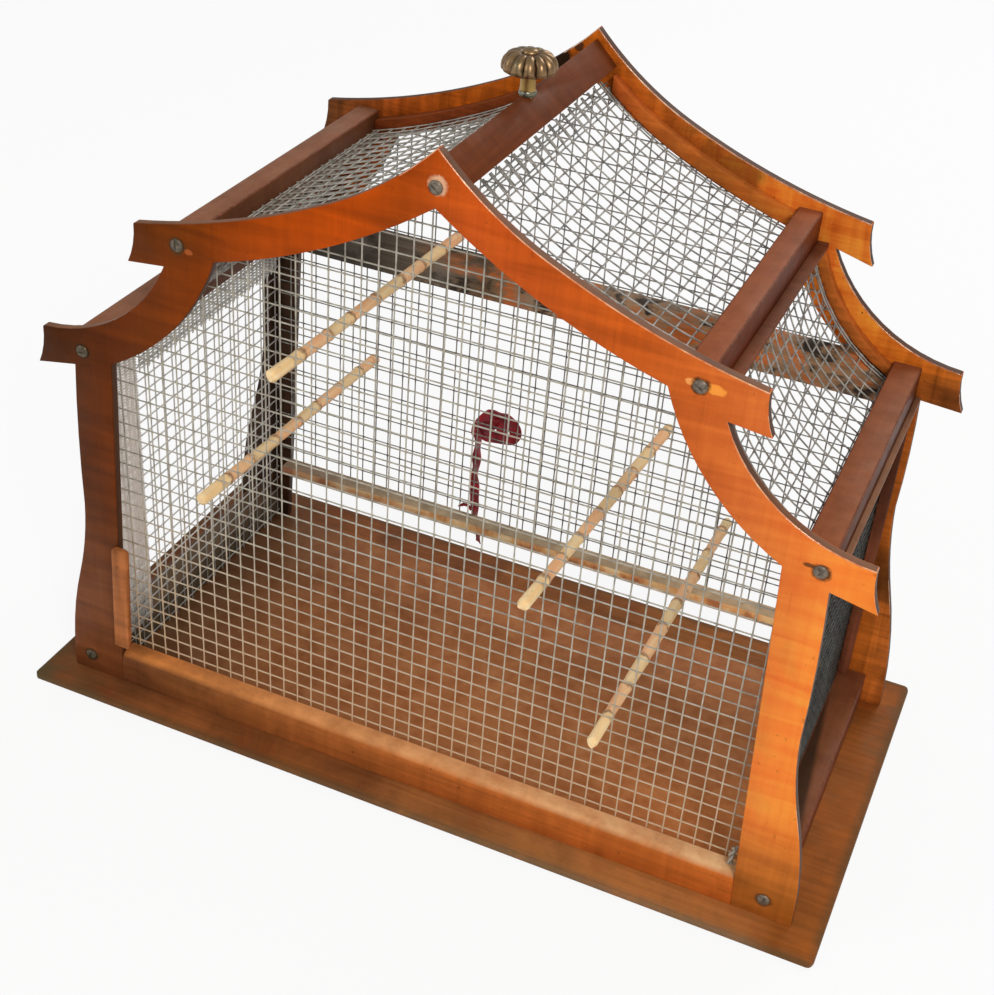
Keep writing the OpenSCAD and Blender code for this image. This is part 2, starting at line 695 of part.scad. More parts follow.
base_board();
front_bottom_rail();
front_frame();
rear_frame();
ridge_bar();
upper_bar(left);  // upper_left_bar
upper_bar(right);  // upper_right_bar
eave_bar(left);  // left_eave_bar
eave_bar(right);  // right_eave_bar
sill_bar(left);  // left_sill_bar
sill_bar(right);  // right_sill_bar
rear_cross_rail();
rear_bottom_strip();
upper_batten(front, left);  // front_upper_left_batten
upper_batten(front, right);  // front_upper_right_batten
lower_batten(front, left);  // front_lower_left_batten
lower_batten(front, right);  // front_lower_right_batten
upper_batten(rear, left);  // rear_upper_left_batten
upper_batten(rear, right);  // rear_upper_right_batten
lower_batten(rear, left);  // rear_lower_left_batten
lower_batten(rear, right);  // rear_lower_right_batten
corner_batten(front, left);  // front_left_corner_batten
corner_batten(front, right);  // front_right_corner_batten
corner_batten(rear, left);  // rear_left_corner_batten
corner_batten(rear, right);  // rear_right_corner_batten
upper_ledge(left);  // upper_left_ledge
upper_ledge(right);  // upper_right_ledge
eave_strip(left);  // left_eave_strip
eave_strip(right);  // right_eave_strip
front_mesh();
rear_mesh();
side_mesh(left);  // left_mesh
side_mesh(right);  // right_mesh
upper_roof_mesh(left);  // upper_left_roof_mesh
upper_roof_mesh(right);  // upper_right_roof_mesh
lower_roof_mesh(left);  // lower_left_roof_mesh
lower_roof_mesh(right);  // lower_right_roof_mesh
perch(0);  // perch_1
perch(1);  // perch_2
perch(2);  // perch_3
perch(3);  // perch_4
knob_stem();
knob_cap();
frame_screws();
front_left_slip();
front_wire_pin();
ribbon();
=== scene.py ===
import json
import math

import bmesh
import bpy
import numpy as np
from mathutils import Matrix, Vector
from mathutils.bvhtree import BVHTree

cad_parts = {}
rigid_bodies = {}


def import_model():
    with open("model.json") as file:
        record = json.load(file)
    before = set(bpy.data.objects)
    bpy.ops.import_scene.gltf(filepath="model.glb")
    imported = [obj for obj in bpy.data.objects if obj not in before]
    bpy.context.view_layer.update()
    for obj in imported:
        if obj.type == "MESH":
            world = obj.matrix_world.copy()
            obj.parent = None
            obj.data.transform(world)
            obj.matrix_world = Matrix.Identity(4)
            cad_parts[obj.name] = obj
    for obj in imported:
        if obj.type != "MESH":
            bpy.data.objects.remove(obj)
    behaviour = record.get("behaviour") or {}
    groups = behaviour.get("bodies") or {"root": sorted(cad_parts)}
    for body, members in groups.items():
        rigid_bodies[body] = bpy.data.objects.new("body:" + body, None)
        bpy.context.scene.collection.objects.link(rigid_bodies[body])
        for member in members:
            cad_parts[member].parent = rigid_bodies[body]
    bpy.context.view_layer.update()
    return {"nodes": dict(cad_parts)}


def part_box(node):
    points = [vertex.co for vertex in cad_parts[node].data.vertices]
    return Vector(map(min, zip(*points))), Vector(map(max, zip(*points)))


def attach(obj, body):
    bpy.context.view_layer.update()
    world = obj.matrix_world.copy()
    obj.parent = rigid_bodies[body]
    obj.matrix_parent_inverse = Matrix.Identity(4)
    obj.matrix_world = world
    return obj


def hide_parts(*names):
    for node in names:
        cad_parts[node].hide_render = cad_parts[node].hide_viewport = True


for leftover in list(bpy.data.objects):
    bpy.data.objects.remove(leftover)

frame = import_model()
nodes = frame["nodes"]

# Lengths below are in millimetres and become metres here
MM = 0.001
# The cage stands this far forward of the base board's middle, on a board this thick
CAGE_FORWARD = 1.0
BASE_TOP = 2.6
PITCH = 6.35
WIRE_R = 0.32
# X and height of each screw in a frame, whose outer face is this far from the middle of the cage
SCREWS = [(0, 257.2), (93.1, 213), (-97.1, 213), (141.3, 158.7), (-141.3, 158.7), (147, 8.7),
          (-150.5, 8.25)]
FRAME_FACE = 71.7
# Edges nearer than this to the middle of a screw belong to its hole
HOLE_REACH = 1.6


def at(x, y, z):
    """A point given from the middle of the cage on top of the base board."""
    return Vector((x, y - CAGE_FORWARD, z + BASE_TOP)) * MM


def cage_array(points):
    return (np.array(points, float) + (0, -CAGE_FORWARD, BASE_TOP)) * MM


def height(z):
    return (z + BASE_TOP) * MM


# Colours

def srgb(r, g, b):
    """A colour given as a screen shows it, from 0 to 255."""
    out = []
    for value in (r, g, b):
        c = value / 255
        out.append(c / 12.92 if c <= 0.04045 else ((c + 0.055) / 1.055) ** 2.4)
    return (*out, 1.0)


class Nodes:
    """Nodes of a material or a world, added one by one. A colour with three values is given as a screen
    shows it, from 0 to 255."""

    def __init__(self, owner):
        owner.use_nodes = True
        self.tree = owner.node_tree
        self.tree.nodes.clear()

    def put(self, socket, value):
        """Links a socket or sets its constant."""
        if isinstance(value, bpy.types.NodeSocket):
            self.tree.links.new(value, socket)
        elif value is not None:
            as_shown = isinstance(value, tuple) and len(value) == 3
            socket.default_value = srgb(*value) if as_shown else value

    def fill(self, node, **values):
        for name, value in values.items():
            self.put(node.inputs[name.replace("_", " ")], value)
        return node

    def add(self, kind, **values):
        return self.fill(self.tree.nodes.new("ShaderNode" + kind), **values)

    def feed(self, node, *values):
        """Fills the first sockets of a node in their order, and gives its first output."""
        for socket, value in zip(node.inputs, values):
            self.put(socket, value)
        return node.outputs[0]

    def span(self, value, low, high, to_low=0.0, to_high=1.0, smooth=False):
        node = self.add("MapRange")
        node.interpolation_type = "SMOOTHSTEP" if smooth else "LINEAR"
        return self.feed(node, value, low, high, to_low, to_high)

    def sum(self, kind, a, b=None):
        node = self.add("Math")
        node.operation = kind
        return self.feed(node, a, b)

    def most(self, a, b):
        return self.sum("MAXIMUM", a, b)


class Shader(Nodes):
    """A material, whose textures lie in the object's own space, in metres."""

    def __init__(self, name):
        self.material = bpy.data.materials.new(name)
        super().__init__(self.material)
        self.surface = self.add("BsdfPrincipled")
        self.out = self.add("OutputMaterial", Surface=self.surface.outputs[0])
        self.place = self.add("TexCoord").outputs["Object"]

    def noise(self, scale, detail=4, rough=0.55, bend=0.0, place=None):
        return self.add("TexNoise", Vector=place or self.place, Scale=scale, Detail=detail, Roughness=rough,
                        Distortion=bend).outputs["Fac"]

    def fibres(self, scales, detail, rough, bend=0.0):
        """Noise with a scale of its own along each axis."""
        node = self.add("Mapping", Vector=self.place)
        node.inputs["Scale"].default_value = scales
        return self.noise(1.0, detail, rough, bend, node.outputs[0])

    def patchy(self, scale, detail, low, high, to_low=0.0, to_high=1.0):
        """Noise that is spread so that it runs through all values between low and high."""
        return self.span(self.noise(scale, detail), low, high, to_low, to_high)

    def ramp(self, value, stops):
        node = self.add("ValToRGB")
        elements = node.color_ramp.elements
        while len(elements) < len(stops):
            elements.new(0.5)
        for element, (position, colour) in zip(elements, sorted(stops, key=lambda s: s[0])):
            element.position = position
            element.color = srgb(*colour)
        return self.feed(node, value)

    def times(self, a, b):
        return self.sum("MULTIPLY", a, b)

    def plus(self, a, b):
        return self.sum("ADD", a, b)

    def off(self, value, middle, size):
        return self.sum("DIVIDE", self.sum("SUBTRACT", value, middle), size)

    def mix(self, share, a, b, kind="MIX"):
        node = self.add("Mix")
        node.data_type = "RGBA"
        node.blend_type = kind
        for socket, value in ((0, share), (6, a), (7, b)):
            self.put(node.inputs[socket], value)
        return node.outputs[2]

    def overlay(self, share, colour, value, low=0.3, high=0.7):
        """Lightens and darkens a colour by a value between low and high."""
        return self.mix(share, colour, self.span(value, low, high), "OVERLAY")

    def shade(self, share, colour, tint):
        """Multiplies a colour by three plain factors."""
        return self.mix(share, colour, (*tint, 1), "MULTIPLY")

    def parts(self, vector=None):
        return self.add("SeparateXYZ", Vector=vector or self.place).outputs

    def facing(self):
        """The surface's own direction, in the object's space."""
        return self.parts(self.add("TexCoord").outputs["Normal"])

    def bump(self, height, strength, depth, under=None):
        return self.add("Bump", Strength=strength, Distance=depth, Height=height, Normal=under).outputs[0]

    def finish(self, colour, rough, normal, **others):
        self.fill(self.surface, Base_Color=colour, Roughness=rough, Normal=normal, **others)
        return self.material


# Noise scales across and along the grain, for grain along X, Y or Z
STREAKS = {"X": (14, 420, 420), "Y": (420, 14, 420), "Z": (420, 420, 14)}
BANDS = {"X": (170, 14, 14), "Y": (14, 170, 14), "Z": (14, 14, 170)}
# The colours of wood run over this stretch of X, in metres
WOOD_SPAN = (-0.165, 0.165)
# The first of these browns is painted shade for edges that look right.
EDGE_SHADE_BROWN, PORE_BROWN, STAIN_BROWN, SPECK_BROWN = (56, 38, 28), (70, 32, 14), (62, 34, 18), (60, 30, 14)
VARNISH_TINT = (1.0, 0.58, 0.28, 1)
CREAM, PINKISH, TWIG_RING = (252, 217, 162), (252, 198, 146), (150, 108, 78)


def even(*colour):
    """The stops of a ramp that has one colour throughout."""
    return [(0.0, colour), (1.0, colour)]


def wood(name, stops, grain, streak, figure, mottle, rough, dust_and_light, grime, coat, top_colour=(150, 128, 110),
         right_top_light=None, spots=0.5, wear_and_shadow=(), shades=(), outer=None, side=None, grime_and_shadow=False):
    """Old varnished wood whose colour runs through stops along X. After its grain come the strength of its
    streaks, figure and mottling, its roughness, how dusty its top is, and how much grime and clear coat it
    has;
    on the front rail that pale top is painted light. shades run from one X and height to another, and a tint
    of four values multiplies. Worn places and painted shadows are given as X, height, two radii and a colour.
    outer is the colour of the side that looks back, and side darkens the faces that look right, a painted
    shade."""
    s = Shader(name)
    x, y, z = s.parts()
    wander = s.noise(9, 3)
    along = s.span(s.plus(x, s.span(wander, 0, 1, -0.02, 0.02)), *WOOD_SPAN)
    base = s.ramp(along, stops)
    beside = s.plus(x, s.span(wander, 0, 1, -0.006, 0.006))
    for x_from, x_to, z_from, z_to, tint in shades:
        share = s.times(s.span(beside, x_from * MM, x_to * MM),
                        s.span(z, height(z_from), height(z_to), smooth=True))
        base = s.mix(share, base, tint, "MULTIPLY" if len(tint) == 4 else "MIX")
    if outer:
        base = s.mix(s.span(s.facing()[1], -0.3, 0.3), base, s.ramp(along, outer))
    streaks = s.fibres(STREAKS[grain], 7, 0.66, 0.25)
    bands = s.fibres(BANDS[grain], 3, 0.5, 0.8)
    blotch = s.noise(55, 5, 0.6, 0.5)
    colour = s.overlay(streak, base, streaks)
    colour = s.overlay(figure, colour, bands, 0.32, 0.68)
    colour = s.overlay(mottle, colour, blotch, 0.25, 0.75)
    pores = s.fibres([3 * v for v in STREAKS[grain]], 2, 0.5)
    colour = s.mix(s.times(s.span(pores, 0.68, 0.78), spots * 0.6), colour, PORE_BROWN)
    stains = s.span(s.times(s.noise(14, 2, 0.5), blotch), 0.30, 0.42)
    colour = s.mix(s.times(stains, grime), colour, STAIN_BROWN)
    specks = s.span(s.noise(420, 1, 0.4), 0.74, 0.8)
    colour = s.mix(s.times(specks, spots), colour, SPECK_BROWN)
    for wx, wz, rx, rz, tint in wear_and_shadow:
        dx = s.off(x, wx * MM, rx * MM)
        dz = s.off(z, height(wz), rz * MM)
        far = s.plus(s.plus(s.times(dx, dx), s.times(dz, dz)), s.patchy(460, 3, 0, 1, -0.8, 0.8))
        share = s.span(far, 1.3, 0.6)
        # With an outer colour these spots keep to the faces that look inward, so that the painted shadows
        # among them stay off the back.
        if outer:
            share = s.times(share, s.span(s.facing()[1], 0.3, -0.3))
        colour = s.mix(share, colour, tint)
    # Faces that look up get a pale top tint: dirt on most pieces, painted light on the front rail's top.
    if dust_and_light:
        share = s.span(s.noise(90, 5, 0.65), 0.3, 0.75, dust_and_light * 0.35, dust_and_light)
        tint = s.mix(s.span(x, -0.11, 0.11), top_colour, right_top_light) if right_top_light else top_colour
        colour = s.mix(s.times(s.span(s.facing()[2], 0.45, 0.9), share), colour, tint)
    if grime_and_shadow:
        colour = sill_grime_and_shadow(s, colour, x, y, wander)
    # Painted shade: faces that look right are darkened by the side tint.
    if side:
        colour = s.shade(s.span(s.facing()[0], 0.6, 0.9), colour, side)
    gloss = s.span(s.noise(120, 5, 0.6), 0.25, 0.75, rough - 0.08, rough + 0.16)
    normal = s.bump(blotch, 0.10, 0.0009, s.bump(streaks, 0.16, 0.00035))
    return s.finish(colour, gloss, normal, Coat_Weight=coat, Coat_Roughness=0.2,
                    Specular_IOR_Level=0.12, Specular_Tint=VARNISH_TINT)


def sill_grime_and_shadow(s, colour, x, y, wander):
    """Dirt and painted shade on the left sill and on faces that look inward, and a dark band of painted
    shadow from the right post along the right sill's inner side.
    """
    inward = s.times(s.facing()[0], s.span(x, -0.01, 0.01, -1, 1))
    dark = s.most(s.span(inward, -0.4, -0.8, 0, 0.85), s.span(x, -0.01, -0.02, 0, 0.75))
    colour = s.mix(dark, colour, (88, 80, 64))
    # The right post's painted shadow lies on the right sill inside a slanting edge.
    edge = s.plus(s.plus(x, s.span(wander, 0, 1, -0.002, 0.002)), s.times(y, 0.125))
    band = s.times(s.span(edge, 0.1482, 0.1462), s.span(x, 0, 0.1, 0, 0.8))
    return s.mix(band, colour, (34, 26, 18))


def edge_wood(name, tints, top_colour=(134, 94, 64)):
    """The sawn edge of thin wood: plies, mottled brown, dusty tops, and painted shade on the faces that look
    right.
    """
    s = Shader(name)
    plies = s.fibres((40, 900, 40), 3, 0.6)
    colour = s.mix(s.span(s.noise(70, 5, 0.6), 0.3, 0.7), *tints)
    colour = s.overlay(0.35, colour, plies)
    up = s.span(s.facing()[2], 0.2, 0.8)
    colour = s.mix(s.times(up, s.patchy(160, 4, 0.35, 0.7, 0.2, 0.5)), colour, top_colour)
    # Painted shade: faces that look right turn a darker brown.
    colour = s.mix(s.span(s.facing()[0], 0.55, 0.85, 0, 0.7), colour, EDGE_SHADE_BROWN)
    return s.finish(colour, 0.55, s.bump(plies, 0.25, 0.0003), Specular_IOR_Level=0.2)


def worn_wood(name, tint, pale, share, coat=0.6):
    """An arris worn through to paler wood in places, under shiny varnish. On the frames' upper arrises this
    paler wood is also a painted highlight.
    """
    s = Shader(name)
    rub = s.span(s.noise(85, 6, 0.7), 0.42, 0.62)
    colour = s.overlay(0.3, s.mix(s.times(rub, share), tint, pale), s.noise(500, 3))
    return s.finish(colour, 0.5 - 0.4 * coat, s.bump(rub, 0.2, 0.0002), Coat_Weight=coat,
                    Coat_Roughness=0.12, Specular_IOR_Level=0.15 + 0.5 * coat)


# The front frame runs from dark brown at the left to bright orange at the right: partly the varnish's own
# tone, partly painted light that falls off towards the left.
front_wood = wood(
    "front_wood",
    [(0.00, (65, 31, 6)), (0.05, (79, 35, 5)), (0.11, (100, 42, 2)), (0.17, (107, 46, 2)),
     (0.24, (131, 55, 1)), (0.32, (161, 64, 1)), (0.40, (181, 70, 1)), (0.46, (158, 63, 4)),
     (0.54, (204, 86, 25)), (0.62, (187, 80, 23)), (0.72, (194, 87, 25)), (0.84, (214, 111, 50)),
     (0.93, (243, 134, 54)), (1.00, (236, 129, 46))],
    "Z", 0.10, 0.20, 0.16, 0.42, 0, 0.12, 0.02, spots=0.25,
    wear_and_shadow=[(90.0, 213.8, 1.9, 1.2, (238, 156, 84)), (98.2, 213.1, 3.6, 1.8, (244, 152, 62)),
          (93.1, 213.1, 3.1, 3.1, (96, 56, 30)), (137.4, 160.0, 2.2, 0.8, (120, 68, 34)),
          (141.5, 158.6, 3.5, 3.1, (104, 62, 34)), (0.7, 258.1, 3.3, 3.3, (222, 170, 134)),
          (-92.6, 211.4, 1.8, 1.1, (160, 80, 36)), (-97.0, 212.8, 3.3, 3.4, (78, 50, 24)),
          (-141.3, 158.7, 3.3, 3.0, (52, 32, 12)), (-150.5, 8.2, 3.6, 3.3, (78, 50, 28)),
          (147.0, 8.6, 3.4, 3.2, (112, 66, 34))],
    # The first of these shades darkens the foot of the right post, a painted shade.
    shades=[(112, 132, 58, 10, (0.46, 0.50, 0.54, 1)), (-118, -130, 100, 40, (111, 61, 32)),
            (-70, -88, 202, 210, (0.72, 0.78, 0.9, 1)), (-118, -128, 146, 156, (0.90, 0.86, 0.8, 1))])
# The rear frame's inner face darkens to near black at its left end, a painted shade; the outer colours keep
# it off the back.
rear_wood = wood(
    "rear_wood",
    [(0.00, (56, 40, 30)), (0.13, (64, 44, 32)), (0.16, (117, 65, 30)), (0.25, (153, 71, 21)),
     (0.45, (181, 88, 15)), (0.58, (183, 95, 31)), (0.66, (211, 108, 33)), (0.75, (232, 128, 45)),
     (0.84, (219, 121, 42)), (0.92, (191, 100, 30)), (1.00, (165, 90, 38))],
    "X", 0.34, 0.3, 0.42, 0.42, 0, 0.6, 0.0, spots=0.8,
    # Both spots here are painted shadow beside the knob.
    wear_and_shadow=[(-14.0, 256.0, 4.4, 5.0, (38, 24, 14)), (-7.0, 262.0, 2.2, 2.2, (84, 46, 24))],
    # These shades are painted shade and shadow on the right post: the first and third darken it, the second
    # and last lighten it again above and below.
    shades=[(116, 126, 60, 110, (0.62, 0.62, 0.8, 1)), (116, 126, 158, 166, (1.8, 1.8, 1.25, 1)),
            (116, 126, 92, 74, (0.30, 0.33, 0.42, 1)), (116, 126, 58, 50, (3.2, 2.9, 2.3, 1))],
    outer=[(0.0, (150, 76, 30)), (0.3, (176, 84, 28)), (0.7, (186, 92, 30)), (1.0, (170, 84, 32))])
# Both bar woods darken the faces that look right through side, a painted shade.
bar_wood = wood("bar_wood", even(120, 69, 43), "Y", 0.2, 0.1, 0.26, 0.45, 0.6, 0.3, 0.0,
                (158, 116, 92), side=(0.62, 0.66, 0.66))
right_bar_wood = wood("right_bar_wood", [(0.82, (124, 61, 34)), (0.92, (110, 56, 29))],
                      "Y", 0.2, 0.1, 0.26, 0.45, 0.6, 0.3, 0.0, (170, 104, 70), side=(0.55, 0.5, 0.48))
ridge_wood = wood("ridge_wood", [(0.0, (97, 46, 20)), (1.0, (101, 48, 22))],
                  "Y", 0.2, 0.1, 0.3, 0.45, 0.3, 0.35, 0.0, (116, 62, 26))
sill_wood = wood("sill_wood", [(0.0, (102, 56, 36)), (1.0, (108, 58, 36))],
                 "Y", 0.22, 0.1, 0.35, 0.5, 0.4, 0.4, 0.03, (145, 94, 59), grime_and_shadow=True)
# The rail's pale top, given by its top tint, is painted light, paler towards the right.
rail_wood = wood("rail_wood", [(0.1, (108, 62, 34)), (0.18, (134, 80, 42)), (0.3, (150, 86, 42)),
                               (0.7, (179, 95, 40)), (1.0, (187, 96, 36))],
                 "X", 0.22, 0.1, 0.3, 0.45, 0.95, 0.25, 0.0, (230, 143, 74), (243, 198, 145))
batten_wood = wood("batten_wood", [(0.0, (104, 58, 32)), (0.5, (126, 64, 34)), (1.0, (132, 70, 36))],
                   "X", 0.3, 0.1, 0.4, 0.5, 0.3, 0.5, 0.03, (140, 88, 58))
rear_batten_wood = wood("rear_batten_wood",
                        [(0.0, (104, 46, 22)), (0.45, (122, 56, 24)), (0.53, (184, 88, 34)),
                         (0.6, (196, 104, 40)), (0.77, (206, 112, 40)), (0.82, (166, 88, 34))],
                        "X", 0.3, 0.1, 0.4, 0.5, 0.3, 0.4, 0.03, (160, 96, 54))
post_batten_wood = wood("post_batten_wood", [(0.0, (50, 38, 30)), (0.6, (70, 46, 34)),
                                             (0.9, (112, 62, 42)), (1.0, (108, 60, 40))],
                        "Z", 0.3, 0.1, 0.4, 0.55, 0.0, 0.4, 0.0,
                        # This shade darkens the upper part of the right corner battens, a painted shadow.
                        shades=[(110, 120, 80, 115, (0.4, 0.4, 0.45, 1))])
pale_strip_wood = wood("pale_strip_wood", [(0.0, (124, 82, 60)), (1.0, (128, 86, 62))],
                       "Y", 0.35, 0.1, 0.4, 0.55, 0.4, 0.35, 0.0, (150, 112, 86))
# A darker wood for the upper right ledge under its bar: a painted shade.
shaded_ledge_wood = wood("shaded_ledge_wood", even(104, 58, 38), "Y", 0.35, 0.2, 0.4, 0.5, 0.4, 0.5, 0.0, (124, 76, 52))
slip_wood = wood("slip_wood", even(164, 98, 54), "Z", 0.3, 0.2, 0.25, 0.45, 0.0, 0.2, 0.05)
front_edge = edge_wood("front_edge", [(92, 52, 30), (124, 76, 46)])
rear_edge = edge_wood("rear_edge", [(70, 42, 24), (92, 56, 32)], (84, 52, 34))
# The paler wood on the frames' upper arrises is partly worn, partly a painted highlight.
front_arris = worn_wood("front_arris", (206, 110, 50), (240, 190, 150), 0.75)
rear_arris = worn_wood("rear_arris", (170, 92, 40), (244, 204, 172), 0.7)
bar_arris = worn_wood("bar_arris", (112, 62, 40), (136, 84, 58), 0.3, 0.0)


def base_material():
    """Stained board: brown, blotched with red and green-brown, with grime along its rim."""
    s = Shader("base_wood")
    x, y = s.parts()[:2]
    x_off, y_off = s.sum("ABSOLUTE", x), s.sum("ABSOLUTE", y)
    streaks = s.fibres(STREAKS["X"], 7, 0.66, 0.3)
    blotch = s.noise(26, 6, 0.62, 0.6)
    small = s.noise(140, 5, 0.6)
    colour = s.ramp(s.span(s.plus(x, s.span(blotch, 0, 1, -0.12, 0.12)), -0.19, 0.19), [
        (0.0, (98, 60, 34)), (0.35, (125, 72, 37)), (0.65, (142, 86, 41)), (1.0, (144, 78, 29))])
    colour = s.overlay(0.18, colour, streaks)
    colour = s.overlay(0.35, colour, blotch, 0.28, 0.72)
    colour = s.mix(s.patchy(38, 3, 0.56, 0.7, 0, 0.4), colour, (128, 54, 22))
    # The cage's floor: dusty with seed, darkened towards the left by painted shade, with painted light at the
    # front right
    inside = s.times(s.span(x_off, 0.143, 0.139),
                     s.span(s.sum("ABSOLUTE", s.plus(y, CAGE_FORWARD * MM)), 0.0685, 0.066))
    floor_dust_light_and_shade = s.mix(s.span(small, 0.3, 0.7), (153, 90, 51), (183, 122, 78))
    floor_dust_light_and_shade = s.shade(s.span(x, -0.02, -0.12), floor_dust_light_and_shade, (0.66, 0.68, 0.72))
    floor_dust_light_and_shade = s.shade(s.span(x, -0.09, -0.136), floor_dust_light_and_shade, (0.52, 0.66, 0.82))
    bright = s.times(s.span(x, 0.06, 0.115), s.span(y, 0.0, -0.03))
    floor_dust_light_and_shade = s.shade(bright, floor_dust_light_and_shade, (1.55, 1.42, 1.2))
    colour = s.mix(s.times(inside, 0.85), colour, floor_dust_light_and_shade)
    droppings = s.span(s.noise(210, 4, 0.7), 0.66, 0.74)
    colour = s.mix(s.times(s.times(inside, droppings), 0.4), colour, (196, 170, 140))
    # Grime along the rim and at the front left corner
    rim = s.most(s.span(x_off, 0.1670, 0.1708), s.span(y_off, 0.0826, 0.0864))
    rim = s.times(rim, s.span(small, 0.2, 0.6, 0.4, 1.0))
    colour = s.mix(s.times(rim, 0.75), colour, (88, 70, 46))
    corner = s.times(s.span(s.sum("SUBTRACT", y_off, x), 0.215, 0.248), s.patchy(60, 4, 0.35, 0.65))
    colour = s.mix(s.times(corner, 0.8), colour, (78, 72, 48))
    # The ledge before the front rail, lightened by painted light, and dusty patches at the rear right
    ledge = s.times(s.span(y, -0.068, -0.076), s.span(x, -0.05, 0.13))
    colour = s.shade(s.times(ledge, s.span(x, 0.156, 0.144)), colour, (1.5, 1.8, 2.5))
    dusty = s.times(s.span(s.noise(48, 5, 0.65), 0.48, 0.6), s.span(s.plus(x, y), 0.17, 0.21))
    colour = s.mix(s.times(dusty, 0.6), colour, (106, 78, 52))
    normal = s.bump(small, 0.14, 0.0006, s.bump(streaks, 0.2, 0.0003))
    return s.finish(colour, s.span(small, 0.25, 0.75, 0.42, 0.62), normal, Specular_IOR_Level=0.12,
                    Specular_Tint=(1.0, 0.6, 0.3, 1))


def stained_and_shaded_material():
    """The rear cross rail: dark wood with grey, black and orange blotches. The black ones and its dark left
    end are partly stain and partly painted shadow of the front frame.
    """
    s = Shader("cross_wood")
    x = s.parts()[0]
    streaks = s.fibres(STREAKS["X"], 6, 0.66)
    patches = s.fibres((70, 60, 130), 4, 0.6, 0.4)
    base = s.ramp(s.span(x, -0.13, 0.13), [
        (0.15, (66, 60, 52)), (0.28, (120, 104, 86)), (0.36, (96, 76, 56)), (0.45, (164, 132, 102)),
        (1.0, (146, 112, 82))])
    colour = s.mix(s.times(s.span(patches, 0.5, 0.6), s.span(x, -0.07, -0.03)), base, (186, 102, 50))
    # Black patches: partly stain, partly painted shadow of the front frame.
    colour = s.mix(s.span(patches, 0.46, 0.38), colour, (52, 44, 38))
    colour = s.overlay(0.35, colour, streaks)
    colour = s.mix(s.patchy(45, 3, 0.55, 0.7, 0, 0.6), colour, (120, 110, 100))
    return s.finish(colour, 0.6, s.bump(streaks, 0.25, 0.0003), Specular_IOR_Level=0.15)


def strip_material():
    """The thin rear strip: grey weathered wood with cream and brown patches on its face."""
    s = Shader("rear_strip_wood")
    x = s.parts()[0]
    patches = s.fibres((95, 30, 60), 3, 0.55)
    streaks = s.fibres(STREAKS["X"], 6, 0.66)
    colour = s.ramp(patches, [(0.36, (176, 118, 76)), (0.46, (214, 164, 108)), (0.54, (228, 190, 138)),
                              (0.64, (236, 210, 164))])
    colour = s.overlay(0.3, colour, streaks)
    weathered = s.mix(s.patchy(130, 4, 0.3, 0.7), (140, 120, 92), (182, 158, 124))
    colour = s.mix(s.span(s.facing()[2], 0.4, 0.8), colour, weathered)
    colour = s.shade(s.span(x, -0.05, -0.11), colour, (0.66, 0.6, 0.62))
    colour = s.shade(s.span(x, -0.02, 0.08), colour, (1.5, 1.4, 1.3))
    return s.finish(colour, 0.6, s.bump(streaks, 0.25, 0.0004))


def wire_material(name, dark, light, dirt, low_light_and_shade=None, reach=(0.10, 0.03), folded=None):
    """Tinned wire: a dull skin with paler joints and brown dirt. Below reach it takes its low colour: painted
    light bounced off the floor on the front wall, painted shade at the foot of the left wall. Where a wall is
    folded at the front it has the folded colour."""
    s = Shader(name)
    dull = s.noise(240, 5, 0.6)
    colour = s.mix(s.span(dull, 0.32, 0.62), dark, light)
    colour = s.mix(s.patchy(22, 3, 0.52, 0.72, 0, 0.35), colour, dirt)
    y, z = s.parts()[1:]
    # The low colour: painted light on the front wall, painted shade on the left wall.
    if low_light_and_shade:
        colour = s.mix(s.span(z, *reach, 0, 0.7), colour, low_light_and_shade)
    if folded:
        colour = s.mix(s.times(s.span(y, -0.042, -0.047), s.span(z, 0.03, 0.06)), colour, folded)
    rough = s.span(dull, 0.3, 0.7, 0.62, 0.42)
    return s.finish(colour, rough, s.bump(s.noise(1400, 3), 0.3, 0.0001), Metallic=0.1)


def twig_material(name, rings, start, length):
    """A peeled twig: cream and pinkish stretches between the swellings, with a dark ring at each of these."""
    s = Shader(name)
    fibres = s.fibres((620, 30, 620), 6, 0.66)
    spots = s.noise(260, 4, 0.65)
    stops = []
    for number, place in enumerate(rings):
        before, after = (PINKISH, CREAM) if number % 2 else (CREAM, PINKISH)
        stops += [((place - 1.3) / length, before), ((place - 0.2) / length, TWIG_RING),
                  ((place + 1.5) / length, after)]
    place = s.plus(s.parts()[1], s.patchy(420, 2, 0.3, 0.7, -0.0009, 0.0009))
    along = s.off(place, start * MM, length * MM)
    colour = s.ramp(along, [stop for stop in stops if 0 < stop[0] < 1])
    colour = s.overlay(0.3, colour, fibres)
    colour = s.mix(s.span(spots, 0.62, 0.70, 0, 0.4), colour, (140, 96, 66))
    colour = s.mix(s.patchy(60, 3, 0.5, 0.7, 0, 0.3), colour, (222, 192, 144))
    # Painted shade: the twig is darker on faces that look down.
    shaded_underside = s.mix(0.3, colour, (160, 114, 80))
    colour = s.mix(s.span(s.facing()[2], -0.7, -0.1), shaded_underside, colour)
    normal = s.bump(fibres, 0.3, 0.0004, s.bump(spots, 0.25, 0.0005))
    return s.finish(colour, s.span(spots, 0.3, 0.7, 0.5, 0.75), normal, Specular_IOR_Level=0.3)


